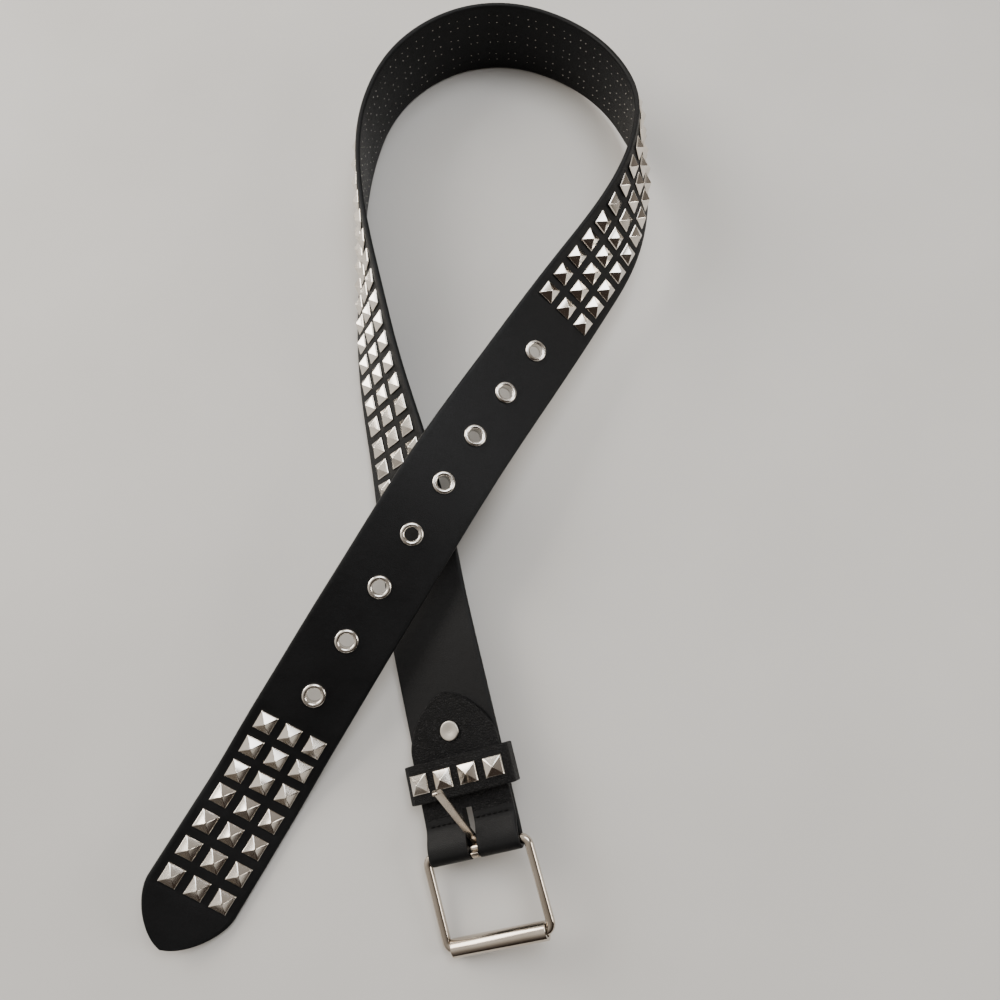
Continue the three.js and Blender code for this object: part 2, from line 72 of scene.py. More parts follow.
EYELET_COUNT, EYELET_PITCH, EYELET_FROM_FIELD, TIP_FIELD_FROM_EYELET = 8, 25.4, 26.5, 18.3
EYELET_BORE, EYELET_WALL, EYELET_FLANGE, EYELET_BACK_FLANGE, EYELET_CROWN = 5.8, 0.5, 10.0, 9.0, 0.9

HEEL_BAR, BAR_CLEARANCE = 3.2, 0.35
FRAME_SIDE_CLEARANCE = 0.6
FRAME_INSIDE = STRAP_WIDTH + 2 * FRAME_SIDE_CLEARANCE
FRAME_WIRE, FRAME_DEPTH, FRAME_CORNER, FRONT_BAR = 3.4, 33.5, 4.5, 3.0
ROLLER_DIAMETER, ROLLER_WALL = 6.8, 1.2
PRONG_LENGTH, PRONG_WIDTH, PRONG_THICKNESS, PRONG_HOOK = 36.5, 3.2, 1.6, 2.4

SLOT_WIDTH, SLOT_LENGTH, FOLD_END = 4.2, 15.0, 13.0
FLAP_LENGTH, FLAP_NOSE = 60.0, 21.0
RIVET_PLACE, RIVET_HEAD, RIVET_SHANK, RIVET_HEAD_HEIGHT = 44.5, 8.0, 3.0, 0.9
KEEPER_PLACE, KEEPER_WIDTH, KEEPER_THICKNESS, KEEPER_CLEARANCE = 27.5, 15.0, 1.9, 0.5
KEEPER_SIDE, KEEPER_CROWN, KEEPER_STUD_PITCH = 1.7, 2.2, 10.6
KEEPER_STUD_COLUMNS = (-1.5, -0.5, 0.5, 1.5)

FIELD_END = FIELD_START + (FIELD_ROWS - 1) * STUD_PITCH
EYELET_START = FIELD_END + EYELET_FROM_FIELD
EYELET_END = EYELET_START + (EYELET_COUNT - 1) * EYELET_PITCH
TIP_FIELD_START = EYELET_END + TIP_FIELD_FROM_EYELET
SHOULDER = TIP_FIELD_START + (TIP_ROWS - 1) * STUD_PITCH + TIP_SHOULDER
STRAP_LENGTH = SHOULDER + TIP_LENGTH
FLAP_FRONT = FRONT + STRAP_THICKNESS
FOLD_INSIDE = HEEL_BAR / 2 + BAR_CLEARANCE
BAR_HEIGHT = FRONT + FOLD_INSIDE
print("strap length", round(STRAP_LENGTH, 1))

# %% [markdown]
# A belt on a table is a ribbon: it turns easily about its width and hardly at all in its own plane,
# so it twists up on edge to make a tight bend. The route is a short table of its heading, its lean
# and the height of its lower edge. A monotone cubic runs through each column, so that level
# stretches stay level, and the middle line is summed from it in short steps.

# %% The strap's route
KEEPER_DEPTH = KEEPER_CLEARANCE + KEEPER_THICKNESS
KEEPER_REACH = KEEPER_SIDE + KEEPER_THICKNESS - KEEPER_DEPTH / 2
END_TILT = math.radians(END_LEAN)
KEEPER_RISE = KEEPER_REACH * math.sin(END_TILT) + KEEPER_DEPTH * math.cos(END_TILT)
CROSSING_RISE = STRAP_WIDTH * math.sin(math.radians(CROSSING_LEAN)) + STUD_HEIGHT

# along (share of the length), heading (degrees from +X), lean (degrees), rise (millimetres)
ROUTE = np.array([
    (0.0, 103, END_LEAN, KEEPER_RISE),
    (0.0754, 103, END_LEAN, KEEPER_RISE),
    (0.1111, 99, 24, 0.01 * STRAP_WIDTH),
    (0.1473, 102.2, 37, 0.1 * STRAP_WIDTH),
    (0.1835, 104, 47.5, 0.03 * STRAP_WIDTH),
    (0.2348, 98.5, 61, 0),
    (0.2961, 94.5, 81, 0),
    (0.3575, 76.5, 90, 0),
    (0.4188, 33.5, 90, 0),
    (0.4801, -24, 90, 0),
    (0.5425, -69, 87.5, 0.15 * CROSSING_RISE),
    (0.6038, -103.5, 67, 0.57 * CROSSING_RISE),
    (0.6652, -125, 37, 0.66 * CROSSING_RISE),
    (0.7265, -123.5, 21, 0.8 * CROSSING_RISE),
    (0.7878, -121.5, 17, CROSSING_RISE),
    (0.8502, -122.5, 18, 0.68 * CROSSING_RISE),
    (0.9014, -122.5, 18, 0.28 * CROSSING_RISE),
    (0.9417, -120.5, 18, 0),
    (1.0, -120.5, 18, 0),
])
print("route places", len(ROUTE), "rise at the crossing", round(CROSSING_RISE, 1))


# %% Curves through the route's columns
def column_curve(column):
    """A monotone cubic through one column of the route."""
    x, y = ROUTE[:, 0] * STRAP_LENGTH, ROUTE[:, column]
    width = np.diff(x)
    secant = np.diff(y) / width
    slope = np.zeros(len(x))
    slope[0], slope[-1] = secant[0], secant[-1]
    for i in range(1, len(x) - 1):
        before, after = secant[i - 1], secant[i]
        if before * after > 0:
            a, b = 2 * width[i] + width[i - 1], width[i] + 2 * width[i - 1]
            slope[i] = (a + b) / (a / before + b / after)

    def at(s):
        i = np.clip(np.searchsorted(x, s) - 1, 0, len(width) - 1)
        u = (s - x[i]) / width[i]
        v = 1 - u
        return ((1 + 2 * u) * v * v * y[i] + u * v * v * width[i] * slope[i]
                + u * u * (3 - 2 * u) * y[i + 1] - u * u * v * width[i] * slope[i + 1])
    return at


heading_at, lean_at, rise_at = column_curve(1), column_curve(2), column_curve(3)
print("lean at the start", float(lean_at(0.0)), "degrees")


# %% The middle line and the strap's own axes
def middle_height(s):
    lean = np.radians(lean_at(s))
    return rise_at(s) + HALF * np.sin(lean) + FRONT * np.cos(lean)


WALK = np.arange(0, math.ceil(STRAP_LENGTH) + 1.0)
climb = middle_height(WALK[1:]) - middle_height(WALK[:-1])
level = np.sqrt(1 - climb ** 2)
turn = np.radians(heading_at(WALK[:-1] + 0.5))
PLAN = np.vstack([[0, 0], np.cumsum(np.stack([level * np.cos(turn), level * np.sin(turn)], 1), 0)])


def middle(s):
    s = np.asarray(s, float)
    return np.stack([np.interp(s, WALK, PLAN[:, 0]), np.interp(s, WALK, PLAN[:, 1]), middle_height(s)], -1)


def strap_axes(s):
    """The strap's own axes at stations s: across it, along it and out of its front."""
    s = np.asarray(s, float)
    heading, lean = np.radians(heading_at(s)), np.radians(lean_at(s))
    across = np.stack([np.sin(heading) * np.cos(lean), -np.cos(heading) * np.cos(lean), np.sin(lean)], -1)
    forward = middle(np.minimum(s + 1, STRAP_LENGTH)) - middle(np.maximum(s - 1, 0))
    forward /= np.linalg.norm(forward, axis=-1, keepdims=True)
    out = np.cross(across, forward)
    out /= np.linalg.norm(out, axis=-1, keepdims=True)
    return np.cross(forward, out), forward, out


print("middle of the strap at the tip", middle(STRAP_LENGTH).round(1))

# %% [markdown]
# The buckle end is flat, so it has one frame of its own: x across the strap, y along it from the
# heel bar, z out of its front. The model's own buckle hinge says where the heel bar is, which also
# tells how far the whole laid belt was moved to stand over the origin.

# %% The buckle end's frame
end_x, end_y, end_z = strap_axes(FOLD_END)
END_AXES = np.stack([end_x, end_y, end_z], 1)
END_ORIGIN = middle(0.0)
BAR_CENTRE = END_ORIGIN + END_AXES @ np.array([0, 0, BAR_HEIGHT])


def joint_place(name):
    """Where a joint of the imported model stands, in millimetres."""
    return np.array(next(j for j in frame["joints"] if j["name"] == name)["pos_m"]) / MM


SHIFT = joint_place("frame_hinge") - BAR_CENTRE


def turned_about_bar(degrees):
    """A frame at the heel bar, turned about it by an angle from the strap's own."""
    c, s = math.cos(math.radians(degrees)), math.sin(math.radians(degrees))
    return END_AXES @ np.array([[1, 0, 0], [0, c, -s], [0, s, c]])


def placed(points, axes, origin):
    """Points of a local frame in the row frame, in metres."""
    return (np.asarray(points, float) @ axes.T + origin + SHIFT) * MM


def from_end(points):
    return placed(points, END_AXES, END_ORIGIN)


def from_strap(s, points):
    """Points of the local frame at one station of the strap, in the row frame, in metres."""
    return placed(points, np.stack(strap_axes(s), 1), middle(s))


print("shift of the laid belt", SHIFT.round(3))

# %% [markdown]
# The leather is one long strip. Its middle line runs from the point of the flap, over the heel bar
# and round the whole loop to the tip, so one coordinate s measures the leather as a belt maker's
# tape would: negative on the flap and the fold, zero under the heel bar, 994 at the tip.

# %% The fold's path and the strip's own coordinates
FOLD_RADIUS = FOLD_INSIDE + STRAP_THICKNESS / 2
LAYER_GAP = 0.03
FLAP_MIDDLE = STRAP_THICKNESS + LAYER_GAP
BEND_POINTS, DROP_POINTS = 40, 30
FOLD_LOOK = 0.4


def fold_path():
    """The middle line from under the bar, round it and along the flap, in (y, z) of the end frame."""
    angle = np.linspace(0, math.pi, BEND_POINTS)
    bend = np.stack([-FOLD_RADIUS * np.sin(angle), BAR_HEIGHT - FOLD_RADIUS * np.cos(angle)], 1)
    u = np.linspace(0, 1, DROP_POINTS)[1:, None]
    knots = np.array([(0, BAR_HEIGHT + FOLD_RADIUS), (FOLD_END / 2, BAR_HEIGHT + FOLD_RADIUS),
                      (FOLD_END / 2, FLAP_MIDDLE), (FOLD_END, FLAP_MIDDLE)])
    drop = ((1 - u) ** 3 * knots[0] + 3 * u * (1 - u) ** 2 * knots[1]
            + 3 * u * u * (1 - u) * knots[2] + u ** 3 * knots[3])
    return np.vstack([bend, drop, [[FLAP_LENGTH, FLAP_MIDDLE]]])


FOLD_PATH = fold_path()
FOLD_ALONG = np.concatenate([[0], np.cumsum(np.linalg.norm(np.diff(FOLD_PATH, axis=0), axis=1))])
DROP_END, FLAP_END = FOLD_ALONG[-2], -FOLD_ALONG[-1]


def fold_point(t):
    """The fold's middle line at a length t from under the bar, in (y, z) of the end frame."""
    return np.array([np.interp(t, FOLD_ALONG, FOLD_PATH[:, 0]), np.interp(t, FOLD_ALONG, FOLD_PATH[:, 1])])


def strip_station(s):
    """Origin and axes (across, along, out) of the leather strip at one value of s, unshifted."""
    if s >= 0:
        return middle(s), np.stack(strap_axes(s), 1)
    y, z = fold_point(-s)
    dy, dz = fold_point(max(-s - FOLD_LOOK, 0)) - fold_point(min(-s + FOLD_LOOK, -FLAP_END))
    along = END_AXES @ np.array([0, dy, dz]) / math.hypot(dy, dz)
    out = np.cross(END_AXES[:, 0], along)
    return END_ORIGIN + END_AXES @ np.array([0, y, z]), np.stack([END_AXES[:, 0], along, out], 1)


def fold_s(y):
    """The strip's s over a place on the flap, y millimetres from the heel bar."""
    return -float(np.interp(y, FOLD_PATH[BEND_POINTS:, 0], FOLD_ALONG[BEND_POINTS:]))


print("leather strip from", round(FLAP_END, 1), "to", round(STRAP_LENGTH, 1))

# %% [markdown]
# Every swept piece here is a skin over rings of points: the strap, the wire frame, the keeper. One
# helper joins the rings with quads, closes the ends and writes a UV map in metres, so that a
# material can follow the piece's own length and girth.

# %% A mesh from points and faces
def mesh_piece(name, points, faces, material, uv=None):
    mesh = bpy.data.meshes.new(name)
    mesh.from_pydata([tuple(p) for p in points], [], faces)
    if uv is not None:
        layer = mesh.uv_layers.new(name="along")
        corner = np.empty(len(mesh.loops), int)
        mesh.loops.foreach_get("vertex_index", corner)
        layer.data.foreach_set("uv", np.asarray(uv, np.float32)[corner].ravel())
    mesh.shade_smooth()
    mesh.materials.append(material)
    piece = bpy.data.objects.new(name, mesh)
    bpy.context.scene.collection.objects.link(piece)
    return piece


def outward(piece):
    """Turns the faces of a closed piece outwards."""
    work = bmesh.new()
    work.from_mesh(piece.data)
    bmesh.ops.recalc_face_normals(work, faces=work.faces)
    work.to_mesh(piece.data)
    work.free()


# %% Skins over rings of points
def ring_faces(rings, sides, closed=False):
    """Quads between rings of equal size, facing outwards for rings that run the right-handed way."""
    faces = []
    for i in range(rings if closed else rings - 1):
        a, b = i * sides, (i + 1) % rings * sides
        faces += [(a + k, a + (k + 1) % sides, b + (k + 1) % sides, b + k) for k in range(sides)]
    if not closed:
        faces.append(tuple(reversed(range(sides))))
        faces.append(tuple(range((rings - 1) * sides, rings * sides)))
    return faces


def skin(name, rings, material, closed=False):
    """A swept piece from an array of rings (ring, point, xyz) in metres."""
    count, sides = rings.shape[:2]
    step = np.linalg.norm(np.diff(rings.mean(1), axis=0), axis=1)
    along = np.concatenate([[0], np.cumsum(step)])
    around = np.linspace(0, 1, sides) * np.linalg.norm(np.diff(rings[0], axis=0), axis=1).sum()
    uv = np.stack([np.tile(around, count), np.repeat(along, sides)], 1)
    faces = ring_faces(count, sides, closed)
    piece = mesh_piece(name, rings.reshape(-1, 3), faces, material, uv)
    outward(piece)
    return piece


def joined_skins(name, parts, material):
    """One mesh of many small closed skins, each an array of rings in metres."""
    points, faces = [], []
    for rings in parts:
        offset = sum(map(len, points))
        points.append(rings.reshape(-1, 3))
        faces += [tuple(i + offset for i in face) for face in ring_faces(*rings.shape[:2])]
    piece = mesh_piece(name, np.concatenate(points), faces, material)
    outward(piece)
    return piece


print("faces between two rings of four points, with ends", len(ring_faces(2, 4)))

# %% [markdown]
# Shared finishes come as node groups. Leather is two things at once: a grain of small closed cells
# pressed into the surface, and a softer unevenness from the hide under it. One group gives both as
# a height, with a mask of the cell lines, and each leather uses it with its own scale and strength.

# %% Node helpers
def new_group(name, inputs, outputs):
    group = bpy.data.node_groups.new(name, "ShaderNodeTree")
    for label, kind, default in inputs:
        socket = group.interface.new_socket(label, in_out="INPUT", socket_type=kind)
        socket.default_value = default
    for label, kind in outputs:
        group.interface.new_socket(label, in_out="OUTPUT", socket_type=kind)
    return group, group.nodes.new("NodeGroupInput"), group.nodes.new("NodeGroupOutput")


def node(tree, kind, inputs=(), **settings):
    made = tree.nodes.new(kind)
    for key, value in settings.items():
        setattr(made, key, value)
    for key, value in dict(inputs).items():
        if isinstance(value, bpy.types.NodeSocket):
            tree.links.new(value, made.inputs[key])
        else:
            made.inputs[key].default_value = value
    return made


def maths(tree, operation, a, b=0.0, c=0.0):
    made = node(tree, "ShaderNodeMath", {0: a, 1: b, 2: c}, operation=operation)
    return made.outputs[0]


def ramp(tree, value, stops):
    """Colour stops (position, (r, g, b)) over a value."""
    made = node(tree, "ShaderNodeValToRGB", {0: value})
    band = made.color_ramp
    while len(band.elements) < len(stops):
        band.elements.new(0.5)
    for element, (place, colour) in zip(band.elements, stops):
        element.position, element.color = place, (*colour, 1)
    return made.outputs[0]


def spread(tree, value, low, high, to_low, to_high):
    made = node(tree, "ShaderNodeMapRange", {0: value, 1: low, 2: high, 3: to_low, 4: to_high})
    return made.outputs[0]


print("node helpers made")


# %% The leather grain group
def leather_grain():
    group, given, result = new_group(
        "leather grain",
        [("Cells per metre", "NodeSocketFloat", 1400.0), ("Cell depth", "NodeSocketFloat", 1.0),
         ("Hide depth", "NodeSocketFloat", 1.0)],
        [("Height", "NodeSocketFloat"), ("Lines", "NodeSocketFloat"), ("Patches", "NodeSocketFloat")])
    place = node(group, "ShaderNodeTexCoord").outputs["Object"]
    wobble = node(group, "ShaderNodeTexNoise", {"Vector": place, "Scale": 420.0, "Detail": 2.0})
    shaken = node(group, "ShaderNodeVectorMath", {0: wobble.outputs["Color"], 3: 0.0014}, operation="SCALE")
    moved = node(group, "ShaderNodeVectorMath", {0: place, 1: shaken.outputs[0]})
    cells = node(group, "ShaderNodeTexVoronoi", {"Vector": moved.outputs[0],
                                                 "Scale": given.outputs["Cells per metre"]},
                 feature="DISTANCE_TO_EDGE")
    dome = spread(group, cells.outputs["Distance"], 0.0, 0.22, 0.0, 1.0)
    fine = node(group, "ShaderNodeTexNoise", {"Vector": place, "Scale": 5200.0, "Detail": 3.0})
    hide = node(group, "ShaderNodeTexNoise", {"Vector": place, "Scale": 190.0, "Detail": 4.0,
                                              "Roughness": 0.62})
    patches = node(group, "ShaderNodeTexNoise", {"Vector": place, "Scale": 38.0, "Detail": 3.0})
    pressed = maths(group, "MULTIPLY", dome, given.outputs["Cell depth"])
    soft = maths(group, "MULTIPLY", hide.outputs["Fac"], given.outputs["Hide depth"])
    height = maths(group, "MULTIPLY_ADD", fine.outputs["Fac"], 0.25, maths(group, "ADD", pressed, soft))
    group.links.new(height, result.inputs["Height"])
    group.links.new(maths(group, "SUBTRACT", 1.0, dome), result.inputs["Lines"])
    group.links.new(patches.outputs["Fac"], result.inputs["Patches"])
    return group


LEATHER_GRAIN = leather_grain()
print("group", LEATHER_GRAIN.name, "with", len(LEATHER_GRAIN.nodes), "nodes")

# %% [markdown]
# Plated metal that has been handled isn't a perfect mirror. It has a bloom that makes it rougher in
# patches, and a web of hairlines that only shows beside a highlight. One group gives both, and the
# studs, the eyelets and the buckle differ in how much of each they have.

# %% Handled metal group
def handled_metal():
    group, given, result = new_group(
        "handled metal",
        [("Least roughness", "NodeSocketFloat", 0.12), ("Bloom", "NodeSocketFloat", 0.12),
         ("Hairlines per metre", "NodeSocketFloat", 2200.0)],
        [("Roughness", "NodeSocketFloat"), ("Height", "NodeSocketFloat"), ("Stain", "NodeSocketFloat")])
    place = node(group, "ShaderNodeTexCoord").outputs["Object"]
    bloom = node(group, "ShaderNodeTexNoise", {"Vector": place, "Scale": 260.0, "Detail": 5.0,
                                               "Roughness": 0.6})
    pulled = node(group, "ShaderNodeMapping", {"Vector": place, "Scale": (1.0, 0.12, 1.0)})
    lines = node(group, "ShaderNodeTexNoise", {"Vector": pulled.outputs[0], "Detail": 2.0,
                                               "Scale": given.outputs["Hairlines per metre"]})
    stain = node(group, "ShaderNodeTexNoise", {"Vector": place, "Scale": 90.0, "Detail": 3.0})
    rough = maths(group, "MULTIPLY_ADD", spread(group, bloom.outputs["Fac"], 0.35, 0.7, 0.0, 1.0),
                  given.outputs["Bloom"], given.outputs["Least roughness"])
    group.links.new(rough, result.inputs["Roughness"])
    group.links.new(lines.outputs["Fac"], result.inputs["Height"])
    group.links.new(spread(group, stain.outputs["Fac"], 0.4, 0.7, 0.0, 1.0), result.inputs["Stain"])
    return group


HANDLED_METAL = handled_metal()
print("group", HANDLED_METAL.name, "with", len(HANDLED_METAL.nodes), "nodes")

# %% [markdown]
# The strap is satin black with a fine, nearly smooth grain. The flap is the same leather's pebbled
# side and the keeper is cut from it too, so they share one maker's function. The cell lines are
# painted darker as shade in the grain's hollows, and the high spots are a little more polished than the
# rest.

# %% Leather materials
def new_material(name):
    material = bpy.data.materials.new(name)
    material.use_nodes = True
    tree = material.node_tree
    shader = tree.nodes["Principled BSDF"]
    return material, tree, shader


def leather(name, cells, cell_depth, hide_depth, dark, light, dull, glossy, bump):
    material, tree, shader = new_material(name)
    grain = node(tree, "ShaderNodeGroup", node_tree=LEATHER_GRAIN)
    grain.inputs["Cells per metre"].default_value = cells
    grain.inputs["Cell depth"].default_value = cell_depth
    grain.inputs["Hide depth"].default_value = hide_depth
    tone = ramp(tree, grain.outputs["Patches"], [(0.3, dark), (0.75, light)])
    # painted shade: the grain's cell lines are mixed towards a darker colour
    grain_tone_with_painted_shade = node(tree, "ShaderNodeMix", {0: maths(tree, "MULTIPLY", grain.outputs["Lines"], 0.6), 6: tone,
                                          7: (*[v * 0.4 for v in dark], 1)}, data_type="RGBA")
    rough = spread(tree, grain.outputs["Patches"], 0.3, 0.7, glossy, dull)
    tree.links.new(grain_tone_with_painted_shade.outputs[2], shader.inputs["Base Color"])
    rougher = maths(tree, "MULTIPLY_ADD", grain.outputs["Lines"], 0.12, rough)
    tree.links.new(rougher, shader.inputs["Roughness"])
    raised = node(tree, "ShaderNodeBump", {"Height": grain.outputs["Height"], "Strength": 1.0,
                                           "Distance": bump})
    tree.links.new(raised.outputs[0], shader.inputs["Normal"])
    shader.inputs["Specular IOR Level"].default_value = 0.2
    return material


STRAP_LEATHER = leather("strap leather", 1500, 0.35, 1.0, (0.0030, 0.0032, 0.0038),
                        (0.0060, 0.0062, 0.0070), 0.47, 0.36, 0.00011)
PEBBLED_LEATHER = leather("pebbled leather", 1050, 1.0, 1.3, (0.0032, 0.0032, 0.0036),
                          (0.0070, 0.0070, 0.0076), 0.48, 0.33, 0.00024)
THREAD_DARK = leather("waxed thread", 4000, 0.5, 0.5, (0.0015, 0.0015, 0.0015), (0.003, 0.003, 0.003),
                      0.8, 0.65, 0.00008)
print("leathers made")

# %% [markdown]
# The metals are nickel plate on the studs and eyelets and a warmer, drawn steel on the buckle. The
# plate's own colour is slightly yellow, which is what makes it look like nickel and not chromium.

# %% Metal materials
def metal(name, colour, stained, least, bloom, hairlines, bump):
    material, tree, shader = new_material(name)
    finish = node(tree, "ShaderNodeGroup", node_tree=HANDLED_METAL)
    finish.inputs["Least roughness"].default_value = least
    finish.inputs["Bloom"].default_value = bloom
    finish.inputs["Hairlines per metre"].default_value = hairlines
    tone = node(tree, "ShaderNodeMix", {0: maths(tree, "MULTIPLY", finish.outputs["Stain"], 0.55),
                                        6: (*colour, 1), 7: (*stained, 1)}, data_type="RGBA")
    tree.links.new(tone.outputs[2], shader.inputs["Base Color"])
    tree.links.new(finish.outputs["Roughness"], shader.inputs["Roughness"])
    raised = node(tree, "ShaderNodeBump", {"Height": finish.outputs["Height"], "Strength": 1.0,
                                           "Distance": bump})
    tree.links.new(raised.outputs[0], shader.inputs["Normal"])
    shader.inputs["Metallic"].default_value = 1.0
    return material


STUD_NICKEL = metal("stud nickel", (0.82, 0.775, 0.71), (0.74, 0.685, 0.61), 0.13, 0.05, 2600, 0.0000015)
EYELET_NICKEL = metal("eyelet nickel", (0.84, 0.805, 0.75), (0.74, 0.70, 0.64), 0.16, 0.08, 2600, 0.000002)
BUCKLE_STEEL = metal("buckle steel", (0.62, 0.56, 0.49), (0.48, 0.42, 0.35), 0.13, 0.07, 2000, 0.000002)
RIVET_NICKEL = metal("rivet nickel", (0.56, 0.53, 0.485), (0.44, 0.41, 0.37), 0.32, 0.14, 2600, 0.000006)
PRONG_STEEL = metal("prong steel", (0.55, 0.49, 0.42), (0.40, 0.34, 0.28), 0.20, 0.14, 2000, 0.000005)
print("metals made")

# %% [markdown]
# The strap is one skin of rounded cross-sections, close enough together that the twist stays smooth.
# Its two ends narrow along a rounded point. Where a stud is pressed home the leather dips round it,
# so the front of each section is lowered by that dish, and the fold's back is pared thinner.

# %% The strip's shape: its half width, its dished front and its end rounding
NOSE_FULLNESS, NOSE_ROUNDNESS, NOSE_BLUNT = 1.6, 0.64, 0.04
NOSE_END = 1 - NOSE_BLUNT / TIP_LENGTH
EDGE_RADIUS, FLAT_POINTS = 0.7, 29
DISH_DEPTH, DISH_REACH = 0.22, 1.5
SKIVE_DEPTH, SKIVE_MIDDLE, SKIVE_REACH = 0.7, 8.0, 14.0
STUD_ROWS = np.concatenate([FIELD_START + STUD_PITCH * np.arange(FIELD_ROWS),
                            TIP_FIELD_START + STUD_PITCH * np.arange(TIP_ROWS)])


def nose(share):
    return HALF * (1 - np.clip(share, 0, NOSE_END) ** NOSE_FULLNESS) ** NOSE_ROUNDNESS


def half_width(s):
    if s > SHOULDER:
        return float(nose((s - SHOULDER) / TIP_LENGTH))
    if s < FLAP_END + FLAP_NOSE:
        return float(nose((FLAP_END + FLAP_NOSE - s) / FLAP_NOSE))
    return HALF


def stud_dish(u, s):
    """How far the leather dips at (u, s) beside the nearest stud."""
    row = STUD_ROWS[np.abs(STUD_ROWS - s).argmin()]
    if abs(row - s) > STUD_PITCH:
        return np.zeros_like(u)
    column = np.clip(np.round(u / STUD_PITCH), -1, 1) * STUD_PITCH
    away = np.maximum(np.abs(u - column), abs(s - row)) - STUD_SIDE / 2
    return DISH_DEPTH * np.exp(-(np.maximum(away, 0) / DISH_REACH) ** 2)


def strip_stations():
    """Where the strip has a cross-section: eight to a stud row, closer at its ends and in the fold."""
    step = STUD_PITCH / 8
    s = list(np.arange(FIELD_START % step, SHOULDER, step))
    share = np.sin(np.linspace(0, math.pi / 2, 26))
    s += list(SHOULDER + TIP_LENGTH * NOSE_END * share)
    s += list(-np.linspace(0, DROP_END, 34))
    s += list(np.linspace(-DROP_END, FLAP_END + FLAP_NOSE, 26)[1:])
    s += list(FLAP_END + FLAP_NOSE * (1 - NOSE_END * share))
    return np.unique(np.round(s, 4))


stations = strip_stations()
print("stations", len(stations), "shortest step", round(float(np.diff(stations).min()), 3))


# %% One cross-section of the strip
def skived(s):
    """How much thinner the leather is on its back where it is folded round the heel bar."""
    away = abs(s + SKIVE_MIDDLE) / SKIVE_REACH
    return SKIVE_DEPTH * max(1 - away ** 4, 0)


def strip_ring(s):
    """One cross-section: anticlockwise round the strap, with the front dished by the studs."""
    half, pared = half_width(s), skived(s)
    r = min(EDGE_RADIUS, 0.5 * half)
    flat = (half - r) * np.linspace(-1, 1, FLAT_POINTS)
    front = [(u, FRONT - dip) for u, dip in zip(flat[::-1], stud_dish(flat[::-1], s))]
    back = [(u, BACK + pared) for u in flat]
    ends = []
    for side in (1, -1):
        for k in range(1, 5):
            angle = math.radians(-90 + 36 * k)
            height = side * FRONT * math.sin(angle)
            raised = height + pared * (FRONT - height) / STRAP_THICKNESS
            ends.append((side * (half - r + r * math.cos(angle)), raised))
    section = np.array(back + ends[:4] + front + ends[4:])
    origin, axes = strip_station(s)
    local = np.stack([section[:, 0], np.zeros(len(section)), section[:, 1]], 1)
    return placed(local, axes, origin), section[:, 0]


print("points in a cross-section", len(strip_ring(0.0)[0]))

# %% [markdown]
# The holes are cut with one boolean: eight eyelet holes, the rivet's hole, and the slot that lets
# the prong swing through both layers of the fold. The cutter is thrown away afterwards.

# %% The cutter for the holes
def joined_cutter():
    work = bmesh.new()

    def drum(radius, depth, matrix):
        bmesh.ops.create_cone(work, cap_ends=True, segments=48, radius1=radius * MM, radius2=radius * MM,
                              depth=depth * MM, matrix=matrix)

    def at(axes, origin, local):
        return Matrix.Translation(Vector(placed(local, axes, origin))) @ Matrix(axes.tolist()).to_4x4()

    hole = EYELET_BORE / 2 + EYELET_WALL + SEAT_GAP
    for i in range(EYELET_COUNT):
        s = EYELET_START + i * EYELET_PITCH
        drum(hole, 4 * STRAP_THICKNESS, at(np.stack(strap_axes(s), 1), middle(s), (0, 0, 0)))
    drum(RIVET_SHANK / 2 + SEAT_GAP, STRAP_WIDTH, at(END_AXES, END_ORIGIN, (0, RIVET_PLACE, 0)))
    slot_low = -FOLD_END
    centre = (0, (SLOT_LENGTH + slot_low) / 2, 0)
    size = Matrix.Diagonal((SLOT_WIDTH * MM, (SLOT_LENGTH - slot_low) * MM, STRAP_WIDTH * MM, 1))
    bmesh.ops.create_cube(work, size=1, matrix=at(END_AXES, END_ORIGIN, centre) @ size)
    mesh = bpy.data.meshes.new("cutter")
    work.to_mesh(mesh)
    work.free()
    cutter = bpy.data.objects.new("cutter", mesh)
    bpy.context.scene.collection.objects.link(cutter)
    return cutter


print("eyelet holes to cut", EYELET_COUNT)


# %% The leather strip and its holes
def cut_by(piece, cutter):
    """Cuts the piece for good and deletes the cutter."""
    cut = piece.modifiers.new("holes", "BOOLEAN")
    cut.operation, cut.object, cut.solver = "DIFFERENCE", cutter, "EXACT"
    bpy.context.view_layer.update()
    result = bpy.data.meshes.new_from_object(piece.evaluated_get(bpy.context.evaluated_depsgraph_get()))
    piece.modifiers.clear()
    piece.data = result
    bpy.data.objects.remove(cutter)


def strap_strip():
    rings, across = zip(*[strip_ring(s) for s in stations])
    rings = np.array(rings)
    uv = np.stack([np.array(across).ravel(), np.repeat(stations, rings.shape[1])], 1) * MM
    faces = ring_faces(len(rings), rings.shape[1])
    piece = mesh_piece("leather_strip", rings.reshape(-1, 3), faces, STRAP_LEATHER, uv)
    outward(piece)
    piece.data.materials.append(PEBBLED_LEATHER)
    flap_from = fold_s(FOLD_END) * MM
    layer = piece.data.uv_layers["along"].data
    for face in piece.data.polygons:
        place = sum(layer[i].uv[1] for i in face.loop_indices) / face.loop_total
        face.material_index = int(place < flap_from)
    cut_by(piece, joined_cutter())
    return piece


strip = strap_strip()
strip.data.set_sharp_from_angle(angle=math.radians(50))
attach(strip, "belt")
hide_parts("studded_strap")
print("leather strip", len(strip.data.vertices), "points")

# %% [markdown]
# A pyramid stud is pressed from thin sheet: four slightly hollow facets, ridges rounded by the
# press, and a narrow flat lip round the base. Each facet is a fan of rows from the point to the lip,
# and its outer columns sit close to the ridges so that each ridge catches its own thin highlight.

